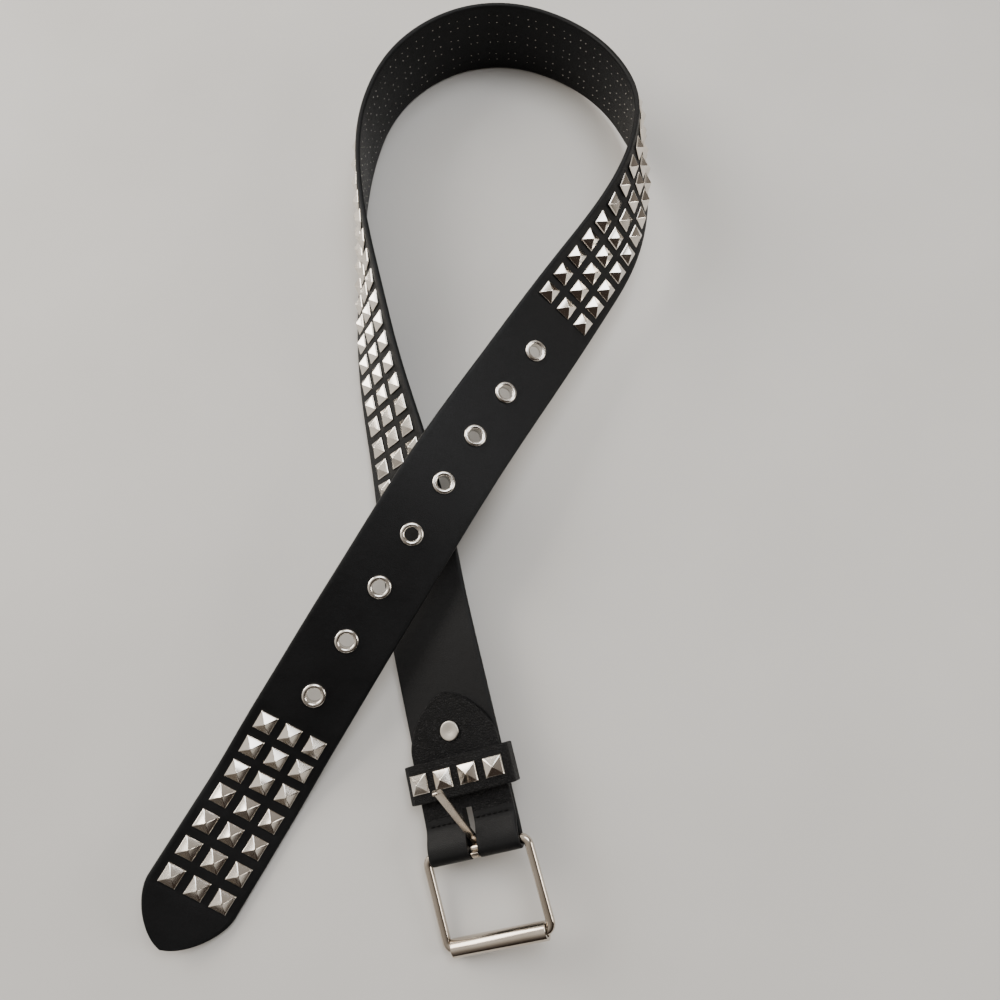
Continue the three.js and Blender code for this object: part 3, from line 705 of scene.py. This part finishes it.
# %% The pyramid stud
STUD_ROW_SHARES = (0.0, 0.05, 0.1, 0.3, 0.55, 0.8, 0.905, 0.925, 0.945, 1.0)
STUD_ACROSS = (-1, -0.93, -0.86, -0.3, 0.3, 0.86, 0.93)
POINT_ROUNDING, RIDGE_ROUNDING, LIP_START, LIP_EDGE = 0.11, 0.045, 0.94, 0.75
FACET_HOLLOW, FACET_POWER, FACET_FULLNESS = 0.06, 1.06, 1.02
WALL_START, STUD_STAND = 0.2, 0.1


def square_ring():
    """Points round a square of half side 1, with the columns of STUD_ACROSS on each side."""
    points = []
    for k in range(4):
        c, s = round(math.cos(k * math.pi / 2)), round(math.sin(k * math.pi / 2))
        points += [(c - s * t, s + c * t) for t in STUD_ACROSS]
    return points


def stud_rings(front):
    """Rings of a stud from its base to its point, in its own frame, with its lip at height front."""
    half = STUD_SIDE / 2
    walls = (-SEAT_GAP, front + WALL_START * STUD_SKIRT)
    rings = [[(half * x, half * y, z) for x, y in square_ring()] for z in walls]
    for q in STUD_ROW_SHARES[::-1]:
        ring = []
        for k, (x, y) in enumerate(square_ring()):
            t = STUD_ACROSS[k % len(STUD_ACROSS)]
            rise = (1 - q) ** FACET_POWER - FACET_HOLLOW * q * (1 - q)
            z = front + STUD_SKIRT + (STUD_HEIGHT - STUD_SKIRT) * min(FACET_FULLNESS * rise, 1)
            if q == 0:
                z = front + STUD_HEIGHT - POINT_ROUNDING
            elif q > LIP_START:
                z = front + STUD_SKIRT * (LIP_EDGE if q == 1 else 1.0)
            elif abs(t) == 1:
                z -= RIDGE_ROUNDING
            ring.append((half * q * x, half * q * y, z))
        rings.append(ring)
    return np.array(rings)


def studs_mesh(name, places, front=0.0):
    """One mesh of studs, one at each (axes, origin) place in millimetres."""
    rings = stud_rings(front)
    return joined_skins(name, [placed(rings, axes, origin) for axes, origin in places], STUD_NICKEL)


print("rings and points of a stud", stud_rings(0.0).shape[:2])


# %% The field of studs and the tip's studs
def stud_place(s, column):
    across, forward, out = strap_axes(s)
    return np.stack([across, forward, out], 1), middle(s) + column * STUD_PITCH * across + FRONT * out


field_places = [stud_place(FIELD_START + row * STUD_PITCH, column)
                for row in range(FIELD_ROWS) for column in STUD_COLUMNS]
field = studs_mesh("field_studs", field_places)
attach(field, "belt")
for row in range(TIP_ROWS):
    for index, column in enumerate(STUD_COLUMNS):
        name = f"tip_stud_{row + 1}_{index + 1}"
        place = stud_place(TIP_FIELD_START + row * STUD_PITCH, column)
        stud = studs_mesh("pressed_" + name, [place], STUD_STAND)
        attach(stud, "belt")
        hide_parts(name)
print("studs in the field", len(field_places), "and by the tip", TIP_ROWS * len(STUD_COLUMNS))

# %% [markdown]
# An eyelet is one piece of thin tube: its front is rolled over into a smooth ring, and its end is
# spread behind the leather. It is turned on a lathe from one closed profile with a round crown.

# %% Arcs and turned pieces
def arc(centre, radii, start, end, steps):
    angles = np.radians(np.linspace(start, end, steps))
    return [(centre[0] + radii[0] * math.cos(a), centre[1] + radii[1] * math.sin(a)) for a in angles]


def lathe(name, profile, material, place, segments=64):
    """A turned piece from (radius, height) points, closed, about the local z axis."""
    rings = []
    for k in range(segments):
        angle = 2 * math.pi * k / segments
        rings.append([(r * math.cos(angle), r * math.sin(angle), h) for r, h in profile])
    return skin(name, place(np.array(rings)), material, closed=True)


print("points of a half circle", len(arc((0, 0), (1, 1), 0, 180, 9)))


# %% Eyelets
EYELET_SUNK, ROLL_RISE, ROLL_TUCK = 0.05, 0.25, 0.15
BACK_TURN, BACK_SUNK = 0.3, 0.02


def eyelet_profile():
    """Half of an eyelet's section, from the seat over the rolled crown and down the bore."""
    bore, flange, rim = EYELET_BORE / 2, EYELET_FLANGE / 2, EYELET_BACK_FLANGE / 2
    seat = FRONT - EYELET_SUNK
    back = BACK - SEAT_GAP - EYELET_WALL
    reach, top = (flange - bore) / 2, SEAT_GAP + EYELET_CROWN + EYELET_SUNK - ROLL_RISE
    roll = arc((bore + reach, seat + ROLL_RISE), (reach, top), -12, 180, 22)
    behind = arc((rim - BACK_TURN, back + BACK_TURN), (BACK_TURN, BACK_TURN), -90, 60, 6)
    return ([(flange - ROLL_TUCK, seat)] + roll + [(bore, back + BACK_TURN), (bore + BACK_TURN, back)]
            + behind + [(bore + EYELET_WALL, BACK + BACK_SUNK), (bore + EYELET_WALL, seat)])


for i in range(EYELET_COUNT):
    s = EYELET_START + i * EYELET_PITCH
    eyelet = lathe(f"rolled_eyelet_{i + 1}", eyelet_profile(), EYELET_NICKEL, lambda p: from_strap(s, p))
    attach(eyelet, "belt")
    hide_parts(f"eyelet_{i + 1}")
print("eyelets", EYELET_COUNT)

# %% [markdown]
# The rivet that holds the fold has a broad head, dulled by wear. Its rim is rolled, and inside the
# rim the face dips a little towards the middle, so it is turned like the eyelets.

# %% The rivet
RIVET_RIM, RIVET_SUNK, RIVET_HEAD_TUCK = 0.45, 0.05, 0.3
RIVET_DIP, RIVET_DIP_START, RIVET_DIP_BEND, RIVET_MIDDLE_DIP = 0.16, 0.86, 3, 0.24
RIVET_CAP_SHARE, AXIS = 0.8, 0.001


def rivet_profile():
    """Half of the rivet's section, from the seat round the rim, over the face and round the cap."""
    head, shank = RIVET_HEAD / 2, RIVET_SHANK / 2
    seat, back = FLAP_FRONT, BACK - SEAT_GAP - EYELET_WALL
    top = seat + SEAT_GAP + RIVET_HEAD_HEIGHT
    rim = arc((head - RIVET_RIM, top - RIVET_SUNK - RIVET_RIM), (RIVET_RIM, RIVET_RIM), -60, 90, 8)
    face = [(r * head, top - RIVET_SUNK - RIVET_DIP * (1 - math.cos((RIVET_DIP_START - r) * RIVET_DIP_BEND)))
            for r in (0.8, 0.7, 0.5, 0.3, 0.1)]
    cap = arc((RIVET_CAP_SHARE * head - BACK_TURN, back + BACK_TURN), (BACK_TURN, BACK_TURN), -90, 60, 5)
    return ([(shank, seat), (head - RIVET_HEAD_TUCK, seat)] + rim + face
            + [(AXIS, top - RIVET_MIDDLE_DIP), (AXIS, back)] + cap + [(shank, BACK)])


rivet = lathe("flat_rivet", rivet_profile(), RIVET_NICKEL,
              lambda p: from_end(p + np.array([0, RIVET_PLACE, 0])), segments=48)
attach(rivet, "belt")
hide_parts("rivet")
print("rivet at", RIVET_PLACE, "from the heel bar")

# %% [markdown]
# The keeper is a band of leather bent round both layers, with an arched front that leaves room for
# the tongue. Its path is a closed line in the strap's cross-section, and the band's own rounded
# section is swept along it.

# %% The keeper
KEEPER_HALF = HALF + KEEPER_SIDE + KEEPER_THICKNESS
KEEPER_BACK = BACK - KEEPER_CLEARANCE - KEEPER_THICKNESS
KEEPER_SHOULDER = FLAP_FRONT + KEEPER_CLEARANCE + KEEPER_THICKNESS
KEEPER_RADIUS = (KEEPER_HALF ** 2 + KEEPER_CROWN ** 2) / (2 * KEEPER_CROWN)
KEEPER_CENTRE = KEEPER_SHOULDER + KEEPER_CROWN - KEEPER_RADIUS
KEEPER_CORNER, KEEPER_EDGE = 1.5, 0.55
ARCH_INSET, ARCH_SHARE, ARCH_DROP = 0.6, 0.92, 0.2


def rounded_section(width, height, radius, steps=4):
    """A rounded rectangle in (a, b), anticlockwise."""
    points = []
    for quarter, (sx, sy) in enumerate([(1, 1), (-1, 1), (-1, -1), (1, -1)]):
        for k in range(steps + 1):
            angle = math.radians(90 * quarter + 90 * k / steps)
            points.append((sx * (width / 2 - radius) + radius * math.cos(angle),
                           sy * (height / 2 - radius) + radius * math.sin(angle)))
    return np.array(points)


def keeper_path():
    """The band's middle line in (x, z), anticlockwise, and the outward direction at each point."""
    inset = KEEPER_THICKNESS / 2
    half, low, shoulder = KEEPER_HALF - inset, KEEPER_BACK + inset, KEEPER_SHOULDER - inset
    radius = KEEPER_RADIUS - inset
    bend = ARCH_SHARE * math.asin((half - ARCH_INSET) / radius)
    turn = (KEEPER_CORNER, KEEPER_CORNER)
    side, foot, brow = half - KEEPER_CORNER, low + KEEPER_CORNER, shoulder - KEEPER_CORNER - ARCH_DROP
    path = [(x, low) for x in np.linspace(-side, side, 16)]
    path += arc((side, foot), turn, -90, 0, 7)[1:]
    path += arc((side, brow), turn, 0, 70, 6)
    path += [(radius * math.sin(a), KEEPER_CENTRE + radius * math.cos(a))
             for a in np.linspace(bend, -bend, 30)]
    path += arc((-side, brow), turn, 110, 180, 6)
    path += arc((-side, foot), turn, 180, 270, 7)[:-1]
    path = np.array(path)
    ahead = np.roll(path, -1, 0) - np.roll(path, 1, 0)
    ahead /= np.linalg.norm(ahead, axis=1, keepdims=True)
    return path, np.stack([ahead[:, 1], -ahead[:, 0]], 1)


def keeper_rings():
    section = rounded_section(KEEPER_WIDTH, KEEPER_THICKNESS, KEEPER_EDGE)
    path, outside = keeper_path()
    rings = []
    for (x, z), (ox, oz) in zip(path, outside):
        rings.append([(x + b * ox, KEEPER_PLACE + a, z + b * oz) for a, b in section])
    return from_end(rings)


keeper = skin("keeper_band", keeper_rings(), PEBBLED_LEATHER, closed=True)
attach(keeper, "belt")
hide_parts("keeper_loop")
print("keeper band", len(keeper.data.vertices), "points")

# %% The keeper's studs
for index, column in enumerate(KEEPER_STUD_COLUMNS):
    angle = math.asin(column * KEEPER_STUD_PITCH / KEEPER_RADIUS)
    c, s = math.cos(angle), math.sin(angle)
    axes = END_AXES @ np.array([[c, 0, s], [0, 1, 0], [-s, 0, c]])
    local = (KEEPER_RADIUS * s, KEEPER_PLACE, KEEPER_CENTRE + KEEPER_RADIUS * c)
    origin = END_ORIGIN + END_AXES @ np.array(local)
    stud = studs_mesh(f"pressed_keeper_stud_{index + 1}", [(axes, origin)], STUD_STAND)
    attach(stud, "belt")
    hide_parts(f"keeper_stud_{index + 1}")
print("keeper studs", len(KEEPER_STUD_COLUMNS))

# %% [markdown]
# The buckle is bent from one wire: a round heel bar, two arms that are a little flattened, and a
# front bar that carries the roller. It is one closed path with rounded corners, and the wire's
# section changes from round to flattened along it.

# %% The buckle frame
ARM_THICKNESS, WIRE_SQUARENESS = HEEL_BAR, 0.86
bar_local = END_AXES.T @ (joint_place("roller_spin") - SHIFT - BAR_CENTRE)
FRAME_TURN = math.degrees(math.atan2(-bar_local[2], -bar_local[1]))
FRAME_AXES = turned_about_bar(FRAME_TURN)


def wire_path():
    """The wire's middle line in the frame's own (x, y) and its section's size at each point."""
    half, low, r = FRAME_INSIDE / 2 + FRAME_WIRE / 2, -FRAME_DEPTH, FRAME_CORNER - FRAME_WIRE / 2
    path, size = [], []

    def run(points, width, height):
        path.extend(points)
        size.extend([(width, height)] * len(points))

    run([(x, 0) for x in np.linspace(-half + r + 1, half - r - 1, 12)], HEEL_BAR, HEEL_BAR)
    run(arc((half - r, -r), (r, r), 90, 0, 9), FRAME_WIRE, ARM_THICKNESS)
    run([(half, y) for y in np.linspace(-r - 1, low + r + 1, 10)], FRAME_WIRE, ARM_THICKNESS)
    run(arc((half - r, low + r), (r, r), 0, -90, 9), FRAME_WIRE, ARM_THICKNESS)
    run([(x, low) for x in np.linspace(half - r - 1, -half + r + 1, 12)], FRONT_BAR, FRONT_BAR)
    run(arc((-half + r, low + r), (r, r), -90, -180, 9), FRAME_WIRE, ARM_THICKNESS)
    run([(-half, y) for y in np.linspace(low + r + 1, -r - 1, 10)], FRAME_WIRE, ARM_THICKNESS)
    run(arc((-half + r, -r), (r, r), 180, 90, 9), FRAME_WIRE, ARM_THICKNESS)
    return np.array(path), np.array(size)


def frame_rings():
    path, size = wire_path()
    ahead = np.roll(path, -1, 0) - np.roll(path, 1, 0)
    ahead /= np.linalg.norm(ahead, axis=1, keepdims=True)
    angles = np.linspace(0, 2 * math.pi, 24, endpoint=False)
    rings = []
    for (x, y), (tx, ty), (width, height) in zip(path, ahead, size):
        a = np.sign(np.cos(angles)) * np.abs(np.cos(angles)) ** WIRE_SQUARENESS * width / 2
        b = np.sign(np.sin(angles)) * np.abs(np.sin(angles)) ** WIRE_SQUARENESS * height / 2
        rings.append(np.stack([x - ty * a, y + tx * a, b], 1))
    return placed(rings, FRAME_AXES, BAR_CENTRE)


buckle = skin("wire_frame", frame_rings(), BUCKLE_STEEL, closed=True)
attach(buckle, "frame")
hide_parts("buckle_frame")
print("frame turned", round(FRAME_TURN, 2), "degrees")

# %% [markdown]
# The roller is a strip of sheet curled round the front bar, so it has a seam along its length where
# the two edges meet. Its section is an open ring whose ends nearly touch.

# %% The roller
ROLLER_LENGTH = FRAME_INSIDE - 2 * BAR_CLEARANCE
ROLLER_SEAM, ROLLER_SEAM_PLACE = 5.0, 118.0
# place (share of the half length), wall (share of its thickness)
ROLLER_ENDS = [(-1, 0.88), (-0.996, 0.95), (-0.985, 1), (0, 1), (0.985, 1), (0.996, 0.95), (1, 0.88)]


def roller_rings():
    outer, inner = ROLLER_DIAMETER / 2, ROLLER_DIAMETER / 2 - ROLLER_WALL
    mean = (outer + inner) / 2
    seam = ROLLER_SEAM_PLACE + ROLLER_SEAM / 2
    section = np.array(arc((0, 0), (outer, outer), seam, seam + 360 - ROLLER_SEAM, 60)
                       + arc((0, 0), (inner, inner), seam + 360 - ROLLER_SEAM, seam, 60))
    wall = np.hypot(section[:, 0], section[:, 1])
    rings = []
    for x, share in ROLLER_ENDS:
        scaled = section * ((mean + (wall - mean) * share) / wall)[:, None]
        length = np.full(len(section), x * ROLLER_LENGTH / 2)
        rings.append(np.stack([length, scaled[:, 0] - FRAME_DEPTH, scaled[:, 1]], 1))
    return placed(rings, FRAME_AXES, BAR_CENTRE)


roller = skin("curled_roller", roller_rings(), BUCKLE_STEEL)
roller.data.set_sharp_from_angle(angle=math.radians(60))
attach(roller, "roller")
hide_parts("roller")
print("roller length", round(ROLLER_LENGTH, 2))

# %% [markdown]
# The prong is a flat strip curled round the heel bar. It stands open here, and its tip is bent so
# that it reaches over the roller when the belt is fastened.

# %% The prong
PRONG_RAISED, PRONG_EDGE = 50.0, 0.45
PRONG_AXES = turned_about_bar(PRONG_RAISED)
HOOK_RUN, KNEE_SHORT, HOOK_SHORT = 0.6, 0.4, 0.1
TAPER_RINGS, TIP_WIDTH_SHARE = 7, 0.62
THIN_RINGS, TIP_THICKNESS_SHARE = 3, 0.5


def prong_path():
    """The prong's middle line in (y, z) about the heel bar: its loop, its shank and its bent tip."""
    radius = HEEL_BAR / 2 + BAR_CLEARANCE + PRONG_THICKNESS / 2
    start = np.array([PRONG_LENGTH - PRONG_HOOK - HOOK_RUN, -radius])
    knee = np.array([PRONG_LENGTH - KNEE_SHORT, -radius])
    end = np.array([PRONG_LENGTH - HOOK_SHORT, PRONG_HOOK - radius])
    loop = arc((0, 0), (radius, radius), 60, 270, 28)
    shank = [(y, -radius) for y in np.linspace(1.0, start[0], 14)]
    hook = [tuple((1 - k) ** 2 * start + 2 * k * (1 - k) * knee + k * k * end)
            for k in np.linspace(0, 1, 9)[1:]]
    return np.array(loop + shank + hook)


def prong_rings():
    path = prong_path()
    ahead = np.gradient(path, axis=0)
    ahead /= np.linalg.norm(ahead, axis=1, keepdims=True)
    section = rounded_section(PRONG_WIDTH, PRONG_THICKNESS, PRONG_EDGE)
    rings = []
    for k, ((y, z), (ty, tz)) in enumerate(zip(path, ahead)):
        left = len(path) - 1 - k
        taper = TIP_WIDTH_SHARE + (1 - TIP_WIDTH_SHARE) * min(left / TAPER_RINGS, 1)
        thin = TIP_THICKNESS_SHARE + (1 - TIP_THICKNESS_SHARE) * min(left / THIN_RINGS, 1)
        rings.append([(a * taper, y - tz * b * thin, z + ty * b * thin) for a, b in section])
    return placed(rings, PRONG_AXES, BAR_CENTRE)


prong = skin("bent_prong", prong_rings(), PRONG_STEEL)
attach(prong, "prong")
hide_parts("prong")
print("prong raised", PRONG_RAISED)

# %% [markdown]
# A stitched line crosses the flap on each side of the slot, between the keeper and the fold. Each
# stitch is a short bead of thread that dips into the leather at both ends.

# %% Stitches across the fold
STITCH_PITCH, STITCH_THREAD, STITCH_PLACE, STITCH_SHARE = 2.4, 0.62, 10.5, 0.76
STITCH_SUNK, STITCH_LIFT, STITCH_DIP, STITCH_NARROWING = 0.03, 0.45, 0.75, 0.35
STITCH_FROM_SLOT, STITCH_FROM_EDGE = 1.6, 1.2
BEAD_ANGLES = np.linspace(0, 2 * math.pi, 8, endpoint=False)


def stitch_rings(x, z):
    """One stitch across the strap at (x, z): an arch of thread over the back that sinks at both ends."""
    rings = []
    for t in np.linspace(-1, 1, 7):
        size = STITCH_THREAD / 2 * (1 - STITCH_NARROWING * t * t)
        place = x + t * STITCH_SHARE * STITCH_PITCH / 2
        height = z - STITCH_THREAD * (STITCH_LIFT - STITCH_DIP * t * t)
        rings.append([(place, size * math.cos(a), height - size * math.sin(a)) for a in BEAD_ANGLES])
    return np.array(rings)


def stitch_line(name, across):
    """Stitches at places across the flap, standing on its upper side."""
    s = fold_s(STITCH_PLACE)
    origin, axes = strip_station(s)
    height = BACK + skived(s) - STITCH_SUNK
    piece = joined_skins(name, [placed(stitch_rings(x, height), axes, origin) for x in across], THREAD_DARK)
    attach(piece, "belt")


stitch_places = np.arange(SLOT_WIDTH / 2 + STITCH_FROM_SLOT, HALF - STITCH_FROM_EDGE, STITCH_PITCH)
stitch_line("stitches_left", -stitch_places)
stitch_line("stitches_right", stitch_places)
print("stitches on each side of the slot", len(stitch_places))

# %% [markdown]
# Behind each stud its prongs come through the leather and are bent flat. Only their small bright
# backs show, as four dots to a stud that stray a little, and they are part of what makes the inside
# of the belt look real.

# %% Stud prong ends on the back
PRONG_END_LENGTH, PRONG_END_WIDTH, PRONG_END_HEIGHT, PRONG_END_APART = 0.8, 0.42, 0.22, 2.1
PRONG_END_ROUNDNESS, PRONG_END_STRAY, PRONG_END_SUNK = 0.92, 0.34, (-0.04, 0.10)
CORNERS = [(-1, -1), (-1, 1), (1, -1), (1, 1)]


def prong_end_rings():
    """A small flattened bead standing out of the back, along y in its own frame."""
    rings = []
    for t in np.linspace(-1, 1, 5):
        size = math.sqrt(1 - PRONG_END_ROUNDNESS * t * t)
        rings.append([(PRONG_END_WIDTH / 2 * size * math.cos(a), t * PRONG_END_LENGTH / 2,
                       PRONG_END_HEIGHT * size * math.sin(a)) for a in BEAD_ANGLES])
    return np.array(rings)


def prong_ends(name, rows):
    """Four bent prong ends behind every stud of these rows, each a little out of place."""
    chance = np.random.default_rng(5)
    rings, parts = prong_end_rings(), []
    for s in rows:
        axes, origin = np.stack(strap_axes(s), 1), middle(s)
        for column in STUD_COLUMNS:
            for side, end in CORNERS:
                stray = chance.normal(0, PRONG_END_STRAY, 2)
                sunk = chance.uniform(*PRONG_END_SUNK)
                local = (column * STUD_PITCH + side * PRONG_END_APART + stray[0],
                         end * PRONG_END_APART + stray[1], BACK + sunk)
                parts.append(placed(rings + local, axes, origin))
    piece = joined_skins(name, parts, RIVET_NICKEL)
    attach(piece, "belt")


prong_ends("stud_prong_ends", STUD_ROWS)
print("prong ends", len(STUD_ROWS) * len(STUD_COLUMNS) * len(CORNERS))

# %% [markdown]
# The belt lies on a plain pale table. Polished studs show whatever stands round them, so the light
# is made of large soft panels with darker room between them: bright facets next to dark ones are
# what makes a pyramid read as metal.

# %% The table
TABLE_SIDE, TABLE_GAP = 6.0, 0.0002


def table_top():
    material, tree, shader = new_material("pale table")
    speck = node(tree, "ShaderNodeTexNoise", {"Scale": 60.0, "Detail": 4.0})
    tone = ramp(tree, speck.outputs["Fac"], [(0.3, (0.60, 0.585, 0.56)), (0.7, (0.64, 0.625, 0.60))])
    tree.links.new(tone, shader.inputs["Base Color"])
    shader.inputs["Roughness"].default_value = 0.6
    bpy.ops.mesh.primitive_plane_add(size=TABLE_SIDE, location=(0, 0, -TABLE_GAP))
    table = bpy.context.object
    table.name = "table_top"
    table.data.materials.append(material)


table_top()
print("table", TABLE_SIDE, "metres wide")


# %% Soft panels and the room
def panel(name, place, target, size, watts, colour):
    light = bpy.data.lights.new(name, "AREA")
    light.shape, light.size, light.size_y = "RECTANGLE", size[0], size[1]
    light.energy, light.color = watts, colour
    lamp = bpy.data.objects.new(name, light)
    lamp.location = place
    aim = Vector(target) - Vector(place)
    lamp.rotation_euler = aim.to_track_quat("-Z", "Y").to_euler()
    bpy.context.scene.collection.objects.link(lamp)


WARM, COOL = (1.0, 0.95, 0.88), (0.93, 0.96, 1.0)
BRIGHT_SIDE = (-0.66, 0.66, 0.36)
panel("window_panel", (-1.1, 0.55, 0.75), (0, 0, 0), (1.1, 0.7), 18, WARM)
panel("top_panel", (0.35, 0.5, 1.5), (0, 0, 0), (0.9, 0.9), 15, COOL)
panel("right_panel", (1.2, -0.2, 0.55), (0, -0.05, 0), (0.5, 0.5), 6, WARM)


def room():
    """A room that is bright behind the left and dark brown to the right and in front."""
    world = bpy.data.worlds.new("room")
    bpy.context.scene.world = world
    world.use_nodes = True
    tree = world.node_tree
    way = node(tree, "ShaderNodeTexCoord").outputs["Generated"]
    towards = node(tree, "ShaderNodeVectorMath", {0: way, 1: BRIGHT_SIDE}, operation="DOT_PRODUCT")
    place = spread(tree, towards.outputs["Value"], -1.0, 1.0, 0.0, 1.0)
    tone = ramp(tree, place, [(0.32, (0.05, 0.037, 0.03)), (0.54, (0.33, 0.295, 0.26)),
                              (0.80, (1.0, 0.94, 0.86))])
    tree.links.new(tone, tree.nodes["Background"].inputs["Color"])
    tree.nodes["Background"].inputs["Strength"].default_value = 0.85


room()
print("lights", len(bpy.data.lights))

# %% [markdown]
# The camera stands nearly overhead and close, as it did for the photograph, so the loop's raised top
# looks larger than the parts on the table. Its height, tilt and focal length come from fitting the
# strap's outline.

# %% Camera
CAMERA_PLACE = np.array([11.0, 41.71, 319.8])
CAMERA_ELEVATION, CAMERA_ROLL = 72.06, -1.11
CAMERA_FOCAL_PIXELS, IMAGE_SIDE = 721.0, 1000.0


def photo_camera():
    camera = bpy.data.cameras.new("photo_camera")
    camera.sensor_fit, camera.sensor_width = "HORIZONTAL", 36.0
    camera.lens = camera.sensor_width * CAMERA_FOCAL_PIXELS / IMAGE_SIDE
    camera.clip_start = 0.01
    e, r = math.radians(CAMERA_ELEVATION), math.radians(CAMERA_ROLL)
    forward = Vector((0, math.cos(e), -math.sin(e)))
    level = Vector((1, 0, 0))
    upright = level.cross(forward)
    right = level * math.cos(r) + upright * math.sin(r)
    up = right.cross(forward)
    place = (CAMERA_PLACE + np.array([SHIFT[0], SHIFT[1], 0])) * MM
    holder = bpy.data.objects.new("photo_camera", camera)
    turned = Matrix((right, up, -forward)).transposed().to_4x4()
    holder.matrix_world = Matrix.Translation(Vector(place)) @ turned
    bpy.context.scene.collection.objects.link(holder)
    bpy.context.scene.camera = holder


photo_camera()
print("camera height", CAMERA_PLACE[2], "millimetres")
